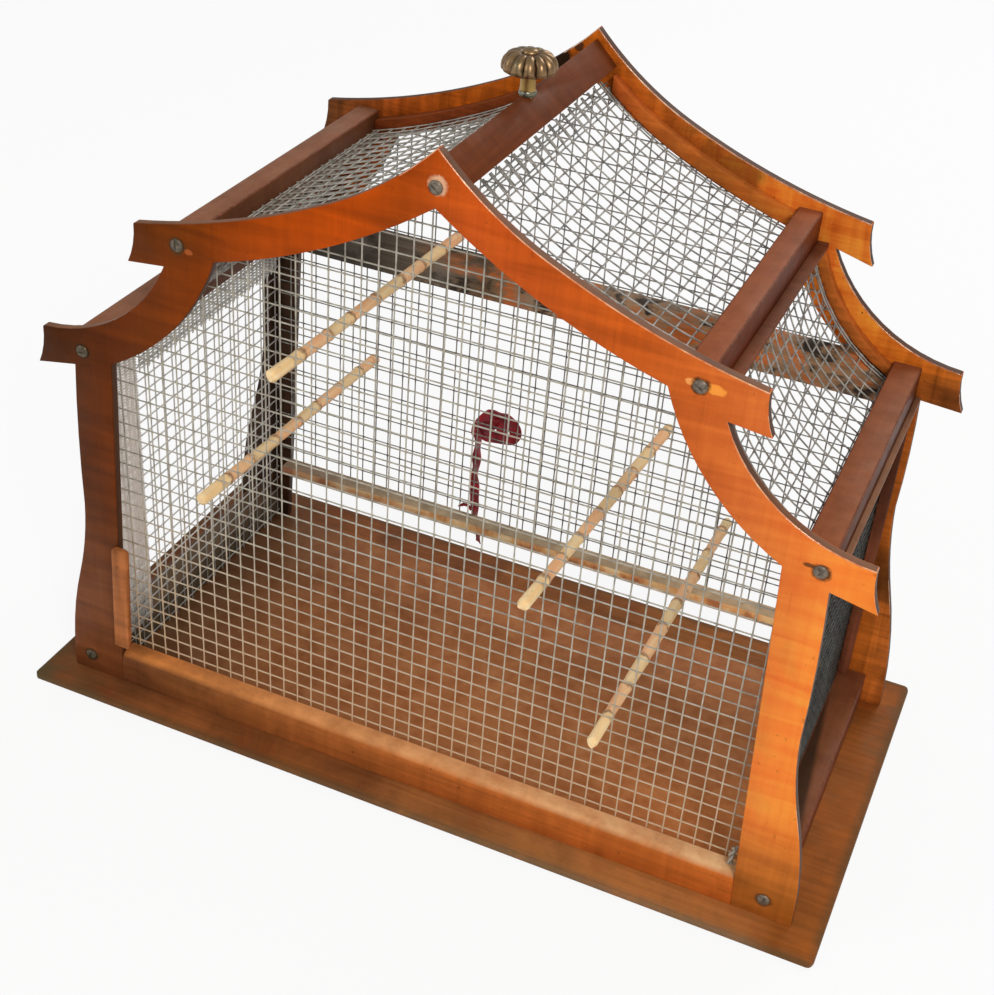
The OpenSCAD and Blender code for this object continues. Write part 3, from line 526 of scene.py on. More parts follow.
def brass_material(name, light, dark, green):
    """Aged brass: brown tarnish in the grooves, worn bright on the lobes, a little verdigris."""
    s = Shader(name)
    tarnish = s.noise(220, 6, 0.65)
    points = s.tree.nodes.new("ShaderNodeNewGeometry").outputs["Pointiness"]
    share = s.plus(s.span(points, 0.44, 0.56), s.span(tarnish, 0.25, 0.75, -0.35, 0.35))
    colour = s.mix(s.span(share, 0.1, 0.9), dark, light)
    colour = s.mix(s.patchy(150, 4, 0.58, 0.7, 0, green), colour, (104, 112, 92))
    rough = s.span(tarnish, 0.3, 0.7, 0.26, 0.46)
    return s.finish(colour, rough, s.bump(tarnish, 0.12, 0.0003), Metallic=0.92)


def screw_material():
    """Old steel screw heads, brown with age and darker on the left."""
    s = Shader("screw_steel")
    rust = s.noise(500, 5, 0.65)
    colour = s.mix(s.span(rust, 0.35, 0.65), (74, 64, 54), (136, 124, 108))
    colour = s.shade(s.span(s.parts()[0], -0.04, -0.14), colour, (0.5, 0.46, 0.34))
    rough = s.span(rust, 0.3, 0.7, 0.55, 0.3)
    return s.finish(colour, rough, s.bump(rust, 0.4, 0.0003), Metallic=0.4)


def ribbon_material():
    """Red satin ribbon, woven across, with worn pink threads."""
    s = Shader("ribbon_fabric")
    threads = s.fibres((900, 900, 5200), 3, 0.6)
    colour = s.mix(s.patchy(160, 3, 0.35, 0.65), (112, 10, 24), (178, 20, 36))
    colour = s.mix(s.span(threads, 0.55, 0.75, 0, 0.4), colour, (206, 70, 92))
    return s.finish(colour, 0.5, s.bump(threads, 0.3, 0.0001), Sheen_Weight=0.35, Sheen_Roughness=0.4)


base_wood = base_material()
cross_wood = stained_and_shaded_material()
strip_wood = strip_material()
TINNED = [(140, 134, 122), (188, 182, 166), (150, 134, 110)]
mesh_wire = wire_material("mesh_wire", *TINNED)
# Its low colour is painted light bounced off the floor.
front_wire = wire_material("front_wire", *TINNED, (214, 180, 140))
# The left wall's wire is a lighter copy of the tinned wire, a painted light; its low colour is painted shade
# along the sill.
lit_side_wire = wire_material("lit_side_wire", (178, 176, 170), (212, 210, 204), (170, 164, 152), (104, 100, 88),
                          (0.040, 0.018), (228, 220, 212))
grey_wire = wire_material("grey_wire", (126, 122, 112), (174, 170, 160), (140, 128, 110))
# A near black copy of the wire for the right wall: painted shade, as that wall is unlit and in the right
# post's shadow.
shaded_right_wire = wire_material("shaded_right_wire", (26, 26, 22), (52, 50, 44), (104, 106, 98))
# A darker copy of the wire for the rear wall and three roofs: painted shade.
shaded_roof_wire = wire_material("shaded_roof_wire", (92, 90, 86), (166, 162, 154), (120, 110, 96))
cap_brass = brass_material("cap_brass", (152, 122, 88), (50, 38, 24), 0.45)
stem_brass = brass_material("stem_brass", (190, 156, 92), (120, 96, 58), 0.4)
collar_metal = brass_material("collar_metal", (128, 128, 112), (84, 84, 74), 0.8)
screw_steel = screw_material()
ribbon_fabric = ribbon_material()


# Building meshes

def link(name, data):
    made = bpy.data.objects.new(name, data)
    bpy.context.scene.collection.objects.link(made)
    return made


def add_object(name, mesh, materials, replaces=(), body="cage"):
    piece = link(name, mesh)
    for material in materials:
        mesh.materials.append(material)
    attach(piece, body)
    if replaces:
        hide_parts(*replaces)
    return piece


def smooth(mesh, angle=38):
    mesh.shade_smooth()
    mesh.set_sharp_from_angle(angle=math.radians(angle))


def near_screw(edge):
    """Whether an edge belongs to the rim of a screw hole."""
    middle = (edge.verts[0].co + edge.verts[1].co) / 2
    return any(math.hypot(middle.x - x * MM, middle.z - height(z)) < HOLE_REACH * MM for x, z in SCREWS)


def rubbed_and_highlit(face):
    """Whether a frame's arris takes the paler wood, worn by hands and painted as a highlight: along its upper
    arrises, from the apex to the right.
    """
    return face.normal.z > 0.2 and face.normal.y < 0 and face.calc_center_median().x > -12 * MM


def from_cad(node, materials, bevel, thin=False):
    """A piece with the shape of a CAD node, its arrises rounded and given the last of several materials.
    The edges of a thin piece take its second material, and only its worn upper arrises, painted with a
    highlight, the last one."""
    last = len(materials) - 1
    bm = bmesh.new()
    bm.from_mesh(nodes[node].data)
    bmesh.ops.remove_doubles(bm, verts=bm.verts, dist=2e-6)
    bmesh.ops.dissolve_limit(bm, angle_limit=math.radians(0.6), verts=bm.verts, edges=bm.edges)
    bmesh.ops.recalc_face_normals(bm, faces=bm.faces)
    for face in bm.faces:
        face.material_index = 1 if thin and abs(face.normal.y) < 0.7 else 0
    sharp = [e for e in bm.edges if len(e.link_faces) == 2 and e.calc_face_angle() > math.radians(32)
             and not near_screw(e)]
    bmesh.ops.bevel(bm, geom=sharp, offset=bevel * MM, segments=2, profile=0.5, affect="EDGES",
                    clamp_overlap=True, material=last or -1)
    if thin:
        for face in bm.faces:
            if face.material_index == last and not rubbed_and_highlit(face):
                face.material_index = 0
    bmesh.ops.triangulate(bm, faces=[f for f in bm.faces if len(f.verts) > 4])
    mesh = bpy.data.meshes.new(node + "_shape")
    bm.to_mesh(mesh)
    bm.free()
    smooth(mesh)
    return add_object(node + "_wood", mesh, materials, [node])


def unit(vectors):
    """The same directions with a length of one."""
    return vectors / np.linalg.norm(vectors, axis=-1, keepdims=True)


def skin(rings, sides):
    """Faces along a row of rings, each with the same number of points."""
    return [(i + j, i + (j + 1) % sides, i + sides + (j + 1) % sides, i + sides + j)
            for i in range(0, (rings - 1) * sides, sides) for j in range(sides)]


def caps(rings, sides):
    """Faces that close the first and the last ring."""
    return [tuple(range(sides - 1, -1, -1)), tuple(range((rings - 1) * sides, rings * sides))]


def tips(rings, sides):
    """Faces that close both ends with a point. The two points come after those of the rings."""
    first, last = rings * sides, (rings - 1) * sides
    return ([(first, (j + 1) % sides, j) for j in range(sides)]
            + [(first + 1, last + j, last + (j + 1) % sides) for j in range(sides)])


class Solid:
    """Vertices and faces gathered from many small parts, in metres."""

    def __init__(self):
        self.points, self.faces, self.count = [], [], 0

    def add(self, points, faces):
        self.points.append(np.asarray(points, float))
        self.faces.extend([tuple(i + self.count for i in face) for face in faces])
        self.count += len(points)

    def tube(self, line, normals, radii, sides):
        """A tube along line, whose rings stand square to it."""
        radii = np.broadcast_to(radii, (len(line),))
        way = unit(np.gradient(line, axis=0))
        side = unit(np.cross(way, normals))
        up = np.cross(side, way)
        turn = np.linspace(0, 2 * math.pi, sides, endpoint=False) + math.pi / sides
        rings = line[:, None] + radii[:, None, None] * (
            np.cos(turn)[:, None] * up[:, None] + np.sin(turn)[:, None] * side[:, None])
        self.add(rings.reshape(-1, 3), skin(len(line), sides) + caps(len(line), sides))

    def lathe(self, profile, segments, origin=(0, 0, 0), change=None):
        """A closed turned form about Z, from a profile of radius and height that starts and ends on the axis.
        change may alter the radii and heights of its rings."""
        profile = np.asarray(profile, float)
        turn = np.linspace(0, 2 * math.pi, segments, endpoint=False)
        r, z = (np.repeat(profile[1:-1, i, None], segments, 1) for i in (0, 1))
        if change:
            r, z = change(r, z, turn)
        rings = np.stack([r * np.cos(turn), r * np.sin(turn), z], -1)
        n = len(profile) - 2
        points = np.concatenate([rings.reshape(-1, 3), [[0, 0, profile[0, 1]], [0, 0, profile[-1, 1]]]])
        faces = [face[:1] + face[:0:-1] for face in skin(n, segments) + tips(n, segments)]
        self.add(points * MM + np.array(origin), faces)

    def mesh(self, name, angle):
        mesh = bpy.data.meshes.new(name)
        mesh.from_pydata(np.concatenate(self.points).tolist(), [], self.faces)
        mesh.update()
        bm = bmesh.new()
        bm.from_mesh(mesh)
        bmesh.ops.recalc_face_normals(bm, faces=bm.faces)
        bm.to_mesh(mesh)
        bm.free()
        smooth(mesh, angle)
        return mesh

    def piece(self, name, material, slot, replaces=(), body="cage", angle=50):
        return add_object(name, self.mesh(name, angle), [material], replaces, body)


# Wire mesh

# How much wires swell at a soldered crossing, and the share of a radius that each set of wires lies off
# the middle of its sheet
SOLDER, STAGGER = 1.22, 0.7
WIRE_SIDES = 6


def solid_tree(node):
    data = nodes[node].data
    return BVHTree.FromPolygons([v.co for v in data.vertices], [tuple(p.vertices) for p in data.polygons])


def reach(tree, start, way):
    """Where a ray first meets a CAD node, in millimetres, or None."""
    hit = tree.ray_cast(Vector(start) * MM, Vector(way))[0]
    return None if hit is None else hit / MM


def lattice(solid, place, across, along, seed, loose, radius=WIRE_R):
    """Two sets of wires, one soldered onto the other. place(u, v, w) gives points, and directions off the
    sheet. across is a list of (u, v low, v high) and along a list of (v, u low, u high), on one grid."""
    random = np.random.default_rng(seed)
    across, along = sorted(across), sorted(along)
    us, vs = np.array([a[0] for a in across]), np.array([a[0] for a in along])
    shake = random.uniform(-loose, loose, (len(us), len(vs), 2))

    def run(fixed, low, high, spots, own, other, upright):
        """One wire, with a swelling of solder at each crossing and a thinner stretch between."""
        if high - low < 2:
            return
        rows = [(low, 0.0, radius)]
        crossings = [j for j, spot in enumerate(spots) if low + 0.5 < spot < high - 0.5]
        for n, j in enumerate(crossings):
            spot = spots[j] + other[j]
            if n:
                gap = spot - rows[-1][0]
                for share in (0.14, 0.5, 0.86):
                    rows.append((spot - gap * (1 - share), rows[-1][1] * (1 - share) + own[j] * share,
                                 radius * (0.94 if share == 0.5 else 0.97)))
            rows.append((spot, own[j], radius * SOLDER))
        rows = np.array(rows + [(high, 0.0, radius)])
        beside = fixed + rows[:, 1]
        u, v = (beside, rows[:, 0]) if upright else (rows[:, 0], beside)
        off = radius * STAGGER * (-1 if upright else 1)
        line, normals = place(u, v, np.full(len(rows), off))
        solid.tube(line, normals, rows[:, 2] * MM, WIRE_SIDES)

    for k, (u, low, high) in enumerate(across):
        run(u, low, high, vs, shake[k, :, 0], shake[k, :, 1], True)
    for j, (v, low, high) in enumerate(along):
        run(v, low, high, us, shake[:, j, 1], shake[:, j, 0], False)


def grid_lines(first, low, high):
    start = math.ceil((low - first) / PITCH)
    return [first + PITCH * i for i in range(start, int((high - first) // PITCH) + 1)]


def end_wall(node, phase, seed, material):
    """Flat mesh of the front or the rear, with its wires cut to the CAD mesh's outline."""
    tree = solid_tree(node)
    low, high = (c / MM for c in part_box(node))
    y = (low.y + high.y) / 2
    across, along = [], []
    for x in grid_lines(phase[0], low.x + 0.6, high.x - 0.6):
        top, bottom = reach(tree, (x, y, 400), (0, 0, -1)), reach(tree, (x, y, -10), (0, 0, 1))
        if top and bottom:
            across.append((x, bottom.z, top.z))
    for z in grid_lines(phase[1] + BASE_TOP, low.z + 0.4, high.z - 2):
        left, right = reach(tree, (-400, y, z), (1, 0, 0)), reach(tree, (400, y, z), (-1, 0, 0))
        if left and right:
            along.append((z, left.x, right.x))
    solid = Solid()
    lattice(solid, lambda u, v, w: (np.stack([u, y + w, v], 1) * MM, (0.0, 1.0, 0.0)), across, along,
            seed, 0.03)
    solid.piece(node + "_wires", material, "mesh_wire", [node])


# How far inside a side wall its first folded layer lies, and each further one inside the one before
FOLD_FIRST, FOLD_NEXT = 0.9, 0.55


def side_wall(node, sign, seed, material, radius=WIRE_R, folds=()):
    """Flat mesh of a side. Each of its folds has a number of layers, and gives for each layer the stretches
    that it covers and where its first wires lie."""
    low, high = (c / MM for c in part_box(node))
    middle = (low.x + high.x) / 2
    solid = Solid()

    def sheet(x, y0, y1, z0, z1, first_y, first_z, seed):
        lattice(solid, lambda u, v, w: (np.stack([x + w, u, v], 1) * MM, (1.0, 0.0, 0.0)),
                [(y, z0, z1) for y in grid_lines(first_y, y0 + 0.5, y1 - 0.5)],
                [(z, y0, y1) for z in grid_lines(first_z, z0 + 0.5, z1 - 0.5)], seed, 0.04, radius)

    sheet(middle, low.y, high.y, low.z, high.z, PITCH / 2 - CAGE_FORWARD, PITCH / 2 + BASE_TOP, seed)
    for layers, first_seed, fold in folds:
        for layer in range(layers):
            x = middle - sign * (FOLD_FIRST + FOLD_NEXT * layer)
            sheet(x, *fold(low, high, layer), first_seed + layer)
    solid.piece(node + "_wires", material, "mesh_wire", [node])


def front_fold(low, high, layer):
    return (low.y + 1.2, low.y + 25.5 - 0.8 * layer, low.z + 15.6, high.z - 1.5,
            1.3 + 2.3 * layer, 2.0 + 1.7 * layer)


def top_fold(low, high, layer):
    return (low.y + 26.3, high.y - 1.5, high.z - 17.5 + 0.8 * layer, high.z - 1.5,
            0.7 + 2.6 * layer, 1.1 + 1.9 * layer)


# Roof meshes are tucked this far into the bars at their ends, and their middle lies this far below their top
TUCK, HALF_SHEET = 1.5, 0.65


def roof_sheet(node, seed, material, radius=WIRE_R, folds=()):
    """Bent mesh of the roof, which follows the CAD mesh's own line. It lies double over folds, each given as
    how far it reaches from the ridge side and from the front, and how far it lies over the layer before."""
    tree = solid_tree(node)
    low, high = (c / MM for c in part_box(node))
    xs = np.linspace(low.x + 0.3, high.x - 0.3, 60)
    line = [(x, hit.z) for x in xs if (hit := reach(tree, (x, low.y + 0.3, 400), (0, 0, -1)))]
    line = np.array(line if abs(line[0][0]) < abs(line[-1][0]) else line[::-1])
    way = unit(np.gradient(line, axis=0))
    line = np.concatenate([[line[0] - way[0] * TUCK], line, [line[-1] + way[-1] * TUCK]])
    way = np.concatenate([way[:1], way, way[-1:]])
    up = np.stack([-way[:, 1], way[:, 0]], 1) * (1 if line[-1][0] > 0 else -1)
    line = line - up * HALF_SHEET
    along = np.concatenate([[0], np.cumsum(np.linalg.norm(np.diff(line, axis=0), axis=1))])

    def place(u, v, w):
        px, pz = (np.interp(u, along, line[:, i]) for i in (0, 1))
        nx, nz = (np.interp(u, along, up[:, i]) for i in (0, 1))
        return np.stack([px + nx * w, v, pz + nz * w], 1) * MM, np.stack([nx, 0 * nx, nz], 1)

    solid = Solid()
    full, front, back = along[-1], low.y + 0.6, high.y - 0.6
    # Wires close the sheet beside the bars and the frames, so that no wire ends in the open
    rims, rear_rim = [TUCK + 0.5, full - TUCK - 0.5], high.y - 3.9
    us = rims + grid_lines(2.4 + TUCK, TUCK + 2, full - TUCK - 2)
    ys = [low.y + 5.2, rear_rim] + grid_lines(PITCH / 2 - CAGE_FORWARD, front, back)
    lattice(solid, place, [(u, low.y, high.y) for u in us], [(y, 0.2, full - 0.2) for y in ys],
            seed, 0.12, radius)
    for number, (far, deep, lift) in enumerate(folds):
        line += up * lift
        u_end, y_end = min(far, full - 0.2), min(low.y + deep, back)
        u_rim, y_rim = min(u_end - 0.4, rims[1]), min(y_end - 0.5, rear_rim)
        us = [rims[0], u_rim] + grid_lines(5.1 + 1.3 * number, TUCK + 1.5, u_rim - 1)
        ys = [y_rim] + grid_lines(1.4 * number - CAGE_FORWARD, front, y_rim - 1)
        lattice(solid, place, [(u, front, y_end) for u in us], [(y, 0.2, u_end) for y in ys],
                seed + 50 + number, 0.12, radius)
    solid.piece(node + "_wires", material, "mesh_wire", [node])


# A reach or depth that goes on over the whole sheet
WHOLE = 200
end_wall("front_mesh", (8.175, 4.375), 11, front_wire)
end_wall("rear_mesh", (7.375, 8.875), 12, shaded_roof_wire)
side_wall("left_mesh", -1, 13, lit_side_wire, folds=[(6, 14, front_fold), (4, 44, top_fold)])
side_wall("right_mesh", 1, 23, shaded_right_wire, 0.43)
roof_sheet("upper_left_roof_mesh", 30, grey_wire, 0.28, [(WHOLE, WHOLE, 2.2)])
roof_sheet("upper_right_roof_mesh", 31, shaded_roof_wire, folds=[(9, WHOLE, -1.2), (WHOLE, 13, -1.0)])
roof_sheet("lower_left_roof_mesh", 32, shaded_roof_wire)
roof_sheet("lower_right_roof_mesh", 33, shaded_roof_wire)


# Wooden pieces

from_cad("front_frame", [front_wood, front_edge, front_arris], 0.35, True)
from_cad("rear_frame", [rear_wood, rear_edge, rear_arris], 0.35, True)
from_cad("base_board", [base_wood], 0.3)
from_cad("front_bottom_rail", [rail_wood], 0.35)
from_cad("ridge_bar", [ridge_wood, bar_arris], 0.5)
for bar, look in (("upper_left_bar", bar_wood), ("left_eave_bar", bar_wood),
                  ("upper_right_bar", right_bar_wood), ("right_eave_bar", right_bar_wood),
                  ("left_sill_bar", sill_wood), ("right_sill_bar", sill_wood)):
    from_cad(bar, [look, bar_arris], 0.6)
from_cad("rear_cross_rail", [cross_wood], 0.4)
from_cad("rear_bottom_strip", [strip_wood], 0.5)
for end, look in (("front", batten_wood), ("rear", rear_batten_wood)):
    for side in ("left", "right"):
        for level in ("upper", "lower"):
            from_cad(f"{end}_{level}_{side}_batten", [look], 0.4)
        from_cad(f"{end}_{side}_corner_batten", [post_batten_wood], 0.4)
for ledge in ("upper_left_ledge", "upper_right_ledge", "left_eave_strip", "right_eave_strip"):
    from_cad(ledge, [shaded_ledge_wood if ledge == "upper_right_ledge" else pale_strip_wood], 0.3)
from_cad("front_left_slip", [slip_wood], 0.6)


# Perches: peeled twigs with swollen nodes and roughly cut ends

# How far a twig reaches out of the front and the rear mesh, and its radius, which stays clear of the wires
TWIG_AHEAD, TWIG_BEHIND = 12, 4
TWIG_RADIUS, TWIG_MOST = 2.32, 2.68
TWIG_SIDES, TWIG_STEPS = 20, 140
FRONT_MID, REAR_MID = -62.55, 67.25
# X and height of each perch in the front and in the rear mesh
PERCHES = {1: (-58.5, 172.65, -52.95, 170.8), 2: (-90.25, 109.15, -91.05, 100.95),
           3: (43.1, 109.15, 48.65, 107.3), 4: (74.85, 58.35, 80.4, 69.2)}


def perch(number, near, far):
    random = np.random.default_rng(40 + number)
    start, end = cage_array([near, far]) / MM
    way = unit(end - start)
    start, end = start - way * TWIG_AHEAD, end + way * TWIG_BEHIND
    length = float(np.linalg.norm(end - start))
    steps = np.arange(0, length + 0.01, length / TWIG_STEPS)
    swellings = np.cumsum(random.uniform(15.5, 20, 8))
    radius = np.full(len(steps), TWIG_RADIUS) + 0.10 * np.sin(steps * 0.05 + random.uniform(0, 6))
    for place in swellings:
        radius += 0.34 * np.exp(-((steps - place) / 1.2) ** 2)
        radius -= 0.16 * np.exp(-((steps - place - 3.0) / 1.7) ** 2)
    ends = np.minimum(steps, length - steps)
    radius *= np.clip(0.62 + 0.38 * np.sqrt(np.clip(ends / 1.0, 0, 1)), 0, 1)
    side = unit(np.cross(way, (0, 0, 1)))
    up = np.cross(side, way)
    turn = np.linspace(0, 2 * math.pi, TWIG_SIDES, endpoint=False)
    lumps = sum(random.uniform(0.01, 0.03) * np.sin(
        turn * k + steps[:, None] * random.uniform(-0.12, 0.12) + random.uniform(0, 6)) for k in (1, 2, 3, 5))
    n = len(steps)
    rings = radius[:, None] * (1 + lumps) + random.uniform(-0.03, 0.03, (n, TWIG_SIDES))
    rings = np.minimum(rings, TWIG_MOST)
    slope = np.zeros((n, TWIG_SIDES))
    for tip in (0, -1):
        slope[tip] = 0.7 * np.cos(turn + random.uniform(0, 6)) + random.uniform(-0.15, 0.15, TWIG_SIDES)
    points = (start + way * (steps[:, None] + slope)[..., None]
              + rings[..., None] * (np.cos(turn)[:, None] * side + np.sin(turn)[:, None] * up))
    points = np.concatenate([points.reshape(-1, 3), [start + way * 0.25, end - way * 0.25]])
    solid = Solid()
    solid.add(points * MM, skin(n, TWIG_SIDES) + tips(n, TWIG_SIDES))
    name = f"perch_{number}"
    twig_wood = twig_material(name + "_wood", swellings * way[1], start[1], length * way[1])
    solid.piece(name + "_twig", twig_wood, "perch_wood", [name], name, 60)


for number, (near_x, near_z, far_x, far_z) in PERCHES.items():
    perch(number, (near_x, FRONT_MID, near_z), (far_x, REAR_MID, far_z))


# Knob

CAP_HEIGHT = 273.9
FLUTES, FLUTE_DEPTH, FLUTE_DROP = 12, 0.15, 0.8


def flutes(r, z, turn):
    """Makes the cap into lobes with sharp valleys between them, which are shallower on the left."""
    lobe = np.abs(np.cos((turn + math.radians(8)) * FLUTES / 2)) ** 0.75
    lobe = 1 - (1 - lobe) * (0.66 + 0.34 * np.cos(turn - math.radians(330)))
    inward = np.interp(r[:, 0], [2.6, 4.4, 9.0], [0.0, 0.55, 1.0])[:, None]
    return r * (1 - FLUTE_DEPTH * inward * (1 - lobe)), z - FLUTE_DROP * inward * (1 - lobe)


def knob():
    cap = Solid()
    cap.lathe([(0, 4.2), (3.2, 3.9), (6.2, 2.4), (8.6, 0.5), (9.35, 0.0), (9.8, 0.4), (9.9, 1.4), (9.7, 2.7),
               (9.2, 4.0), (8.3, 5.1), (7.0, 5.9), (5.6, 6.35), (4.3, 6.4), (3.3, 6.1), (2.6, 5.7), (0, 5.6)],
              144, at(0, 0, CAP_HEIGHT), flutes)
    cap.lathe([(0, 5.4), (2.75, 5.5), (2.9, 6.1), (2.75, 6.7), (2.2, 7.2), (1.2, 7.5), (0, 7.6)],
              40, at(0, 0, CAP_HEIGHT))
    cap.piece("knob_cap_brass", cap_brass, "aged_brass", ["knob_cap"], angle=70)
    stem = Solid()
    stem.lathe([(0, 258), (2.0, 258), (2.0, 265), (2.75, 265.2), (2.85, 266.8), (2.75, 268.6), (2.7, 271.0),
                (2.8, 273.4), (3.1, 275.4), (3.2, 277.9), (0, 278.0)], 48, at(0, 0, 0))
    stem.piece("knob_stem_brass", stem_brass, "aged_brass", ["knob_stem"])
    collar = Solid()
    collar.lathe([(0, 265.02), (3.05, 265.02), (3.2, 265.4), (3.15, 266.4), (3.0, 266.9), (2.8, 267.05),
                  (0, 267.1)], 40, at(0, 0, 0), lambda r, z, turn: (r * (1 + 0.04 * np.sin(turn * 3)), z))
    collar.piece("knob_collar", collar_metal, "aged_brass")


knob()


# Screws: domed slotted heads, each turned its own way

def screw_mesh():
    """One screw that points down, with its slot cut out."""
    head = Solid()
    head.lathe([(0, -16.0), (1.1, -15.2), (1.1, -0.4), (2.45, -0.02), (2.5, 0.25), (2.25, 0.62), (1.6, 0.95),
                (0.8, 1.1), (0, 1.15)], 28)
    source = link("screw_source", head.mesh("screw_source", 40))
    slot_box = bmesh.new()
    bmesh.ops.create_cube(slot_box, size=1.0, matrix=Matrix.Translation((0, 0, 1.25 * MM))
                          @ Matrix.Diagonal((6 * MM, 0.7 * MM, 1.0 * MM, 1)))
    slot_mesh = bpy.data.meshes.new("slot_cut")
    slot_box.to_mesh(slot_mesh)
    slot_box.free()
    cutter = link("slot_cut", slot_mesh)
    cut = source.modifiers.new("slot", "BOOLEAN")
    cut.operation, cut.object, cut.solver = "DIFFERENCE", cutter, "EXACT"
    done = bpy.data.meshes.new_from_object(source.evaluated_get(bpy.context.evaluated_depsgraph_get()))
    for helper in (source, cutter):
        bpy.data.objects.remove(helper)
    return done


def screws():
    random = np.random.default_rng(5)
    one = screw_mesh()
    bm = bmesh.new()
    for face_y, flip in ((-FRAME_FACE, 1), (FRAME_FACE, -1)):
        facing = Matrix.Rotation(math.radians(90 * flip), 4, "X")
        for x, z in SCREWS:
            turn = Matrix.Rotation(random.uniform(0, math.pi), 4, "Z")
            copy = one.copy()
            copy.transform(Matrix.Translation(at(x, face_y, z)) @ facing @ turn)
            bm.from_mesh(copy)
            bpy.data.meshes.remove(copy)
    mesh = bpy.data.meshes.new("frame_screws_steel")
    bm.to_mesh(mesh)
    bm.free()
    smooth(mesh, 35)
    add_object("frame_screws_steel", mesh, [screw_steel], ["frame_screws"])


screws()


# Wire pin beside the right post: a bent stub of two wires twisted together

def pin():
    line = cage_array([(131.4, -66.3, 14.6), (131.3, -66.4, 18.0), (131.7, -66.6, 21.0), (132.1, -66.9, 23.4),
                       (132.8, -66.8, 24.6)])
    steps = np.linspace(0, len(line) - 1, 60)
    fine = np.stack([np.interp(steps, range(len(line)), line[:, i]) for i in range(3)], 1)
    solid = Solid()
    for phase in (0, math.pi):
        turn = steps * 1.9 + phase
        strand = fine + 0.62 * MM * np.stack([np.cos(turn), np.sin(turn), 0 * turn], 1)
        solid.tube(strand, (0.0, 1.0, 0.0), 0.62 * MM, 10)
    solid.piece("front_wire_pin_bent", mesh_wire, "mesh_wire", ["front_wire_pin"])


pin()


# Ribbon: a flat loop that hangs over the rear mesh and a twisted tail below it

RIBBON_W, RIBBON_Y = 5.5, 69.6
CURL = 0.35
TAIL_STEPS, LOOP_STEPS, LOOP_END = 90, 120, 3.1 * math.pi


def strip(solid, line, widths, turns, thickness):
    """A flat strip along line. turns gives the direction of its width, as an angle about the line from X."""
    way = unit(np.gradient(line, axis=0))
    ref = unit(np.cross(way, (0.0, 1.0, 0.0)))
    wide = ref * np.cos(turns)[:, None] + np.cross(ref, way) * np.sin(turns)[:, None]
    thin = np.cross(wide, way)
    across = np.linspace(-1, 1, 7)
    rows = [line + wide * (a * widths / 2)[:, None] + thin * (CURL * (1 - a * a) + face * thickness / 2)
            for face, spots in ((1, across), (-1, across[::-1])) for a in spots]
    rows = np.stack(rows, 1)
    n, m = rows.shape[:2]
    solid.add(rows.reshape(-1, 3) * MM, skin(n, m) + caps(n, m))


def ribbon():
    y = RIBBON_Y
    tail = Solid()
    steps = np.linspace(0, 1, TAIL_STEPS)
    tail_line = cage_array([(-38.7 + 2.6 * t + 0.6 * math.sin(9 * t) + 1.8 * max(0, 5 * t - 4),
                             y + 0.5 * math.sin(14 * t), 80.5 - 62 * t) for t in steps]) / MM
    widths = (RIBBON_W - 0.3) * (1 - 0.25 * np.exp(-((steps - 0.97) / 0.12) ** 2))
    turns = -0.55 + 0.55 * np.exp(-((steps - 0.54) / 0.07) ** 2) + 0.2 * np.sin(steps * 31)
    strip(tail, tail_line, widths, turns, 0.5)
    tail_piece = tail.piece("ribbon_tail", ribbon_fabric, "ribbon_fabric", ["ribbon"], angle=60)
    loop = Solid()
    angle = np.linspace(-0.5, LOOP_END, LOOP_STEPS)
    size = np.interp(angle, [-0.5, 3.6, LOOP_END], [1.0, 0.92, 0.24])
    loop_line = cage_array(np.stack([
        -28.6 - 9.3 * size * np.cos(angle) + 1.2 * np.sin(2 * angle), y + 0.9 * np.sin(1.7 * angle),
        83.8 + size * (6.2 * np.clip(1.3 * np.sin(angle), -1, 1) - 2.2 * np.cos(angle)) - 0.12 * angle], 1))
    strip(loop, loop_line / MM, np.full(LOOP_STEPS, RIBBON_W), 0.45 * np.sin(angle * 2.3), 0.45)
    wisp_line = cage_array([(-38.4, y, 35.6), (-40.4, y + 0.4, 37.4), (-42.8, y + 0.6, 37.2),
                            (-45.4, y + 0.3, 35.4)])
    strip(loop, wisp_line / MM, np.array([1.6, 2.2, 1.8, 0.7]), np.array([0.2, 0.3, 0.1, 0.0]), 0.4)
    loop_piece = loop.piece("ribbon_loop", ribbon_fabric, "ribbon_fabric", angle=60)


ribbon()


# Floor, lights and camera

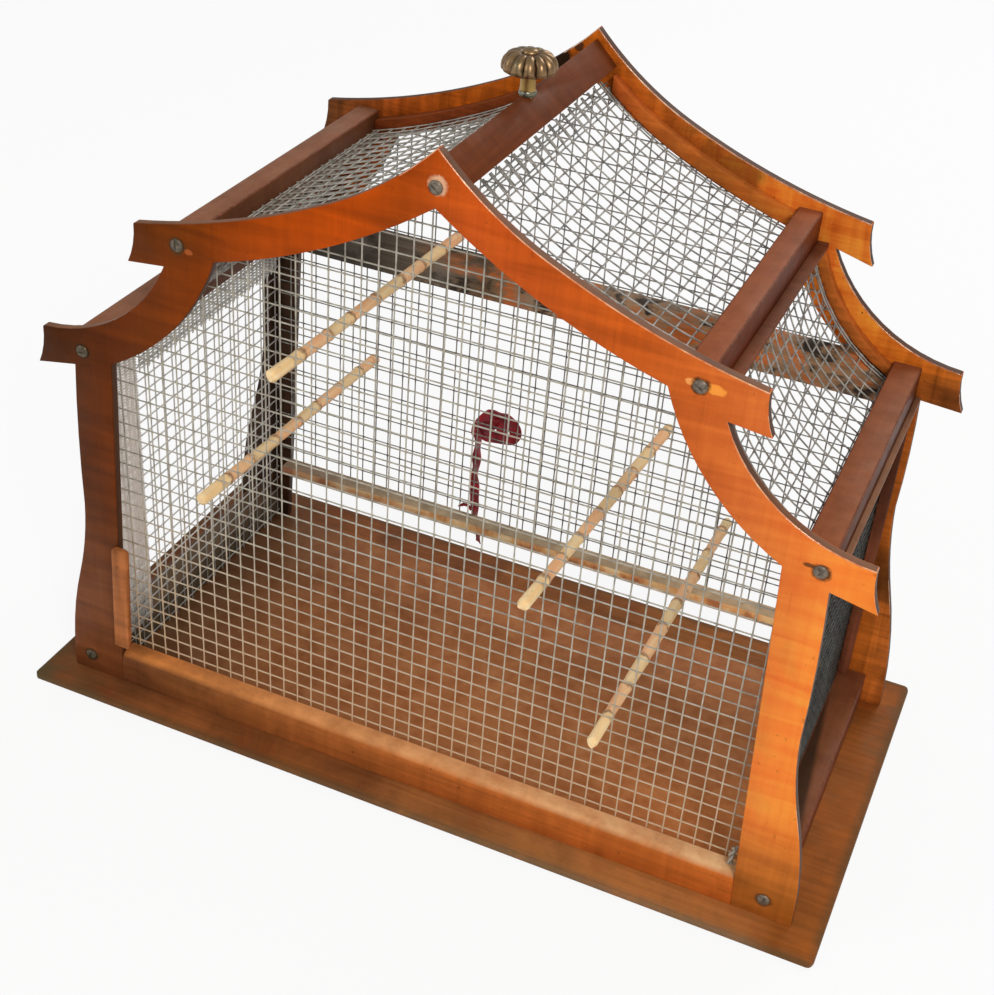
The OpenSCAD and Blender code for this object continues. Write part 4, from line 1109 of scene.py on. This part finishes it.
def floor_material():
    """A floor that takes soft shadows and looks nearly white to the camera and in reflections."""
    s = Shader("floor_white")
    shade = s.add("BsdfDiffuse", Color=(0.86, 0.86, 0.86, 1)).outputs[0]
    glow = s.add("Emission", Strength=1.0).outputs[0]
    path = s.add("LightPath").outputs
    direct = s.most(path["Is Camera Ray"], s.most(path["Is Glossy Ray"], path["Is Transmission Ray"]))
    seen = s.feed(s.add("MixShader"), 0.86, shade, glow)
    s.put(s.out.inputs[0], s.feed(s.add("MixShader"), direct, shade, seen))
    s.tree.nodes.remove(s.surface)
    return s.material


def stage():
    bpy.ops.mesh.primitive_circle_add(vertices=96, radius=6, fill_type="NGON")
    floor = bpy.context.object
    floor.name = "floor"
    floor.data.materials.append(floor_material())
    world = bpy.data.worlds.new("studio")
    bpy.context.scene.world = world
    s = Nodes(world)
    path = s.add("LightPath").outputs
    seen = s.most(path["Is Camera Ray"], path["Is Transmission Ray"])
    back = s.add("Background", Color=(1, 1, 1, 1), Strength=s.span(seen, 0, 1, 0.50, 1.0))
    s.add("OutputWorld", Surface=back.outputs[0])


def lamp(name, place, target, size, power, tint=(1, 1, 1)):
    data = bpy.data.lights.new(name, "AREA")
    data.shape, data.size, data.energy, data.color = "DISK", size, power, tint
    made = link(name, data)
    made.location = place
    made.rotation_euler = (Vector(target) - Vector(place)).to_track_quat("-Z", "Y").to_euler()


stage()
lamp("key", (0.95, -1.15, 1.25), (0.02, 0, 0.12), 0.55, 14.5, (1.0, 0.97, 0.93))
lamp("fill", (-1.2, -0.9, 0.9), (0, 0, 0.12), 0.9, 4.5, (0.96, 0.98, 1.0))
lamp("back", (0.3, 1.3, 1.2), (0, 0, 0.15), 0.7, 7)

# Camera at the photograph's own place, as a fit to points on the object gave it
right = Vector((0.91316376, 0.4020086, 0.06723861))
down = Vector((0.27604355, -0.48859687, -0.8276914))
forward = Vector((-0.29988649, 0.77437858, -0.55714084))
camera = link("camera", bpy.data.cameras.new("camera"))
pose = Matrix((right, -down, -forward)).transposed().to_4x4()
pose.translation = Vector((0.19290, -0.49510, 0.45978))
camera.matrix_world = pose
camera.data.sensor_fit = "HORIZONTAL"
camera.data.sensor_width = 36
camera.data.lens = 57.69
camera.data.shift_x = -0.0024
camera.data.shift_y = -0.0081
camera.data.clip_start, camera.data.clip_end = 0.01, 50
bpy.context.scene.camera = camera
bpy.context.scene.view_settings.view_transform = "Standard"
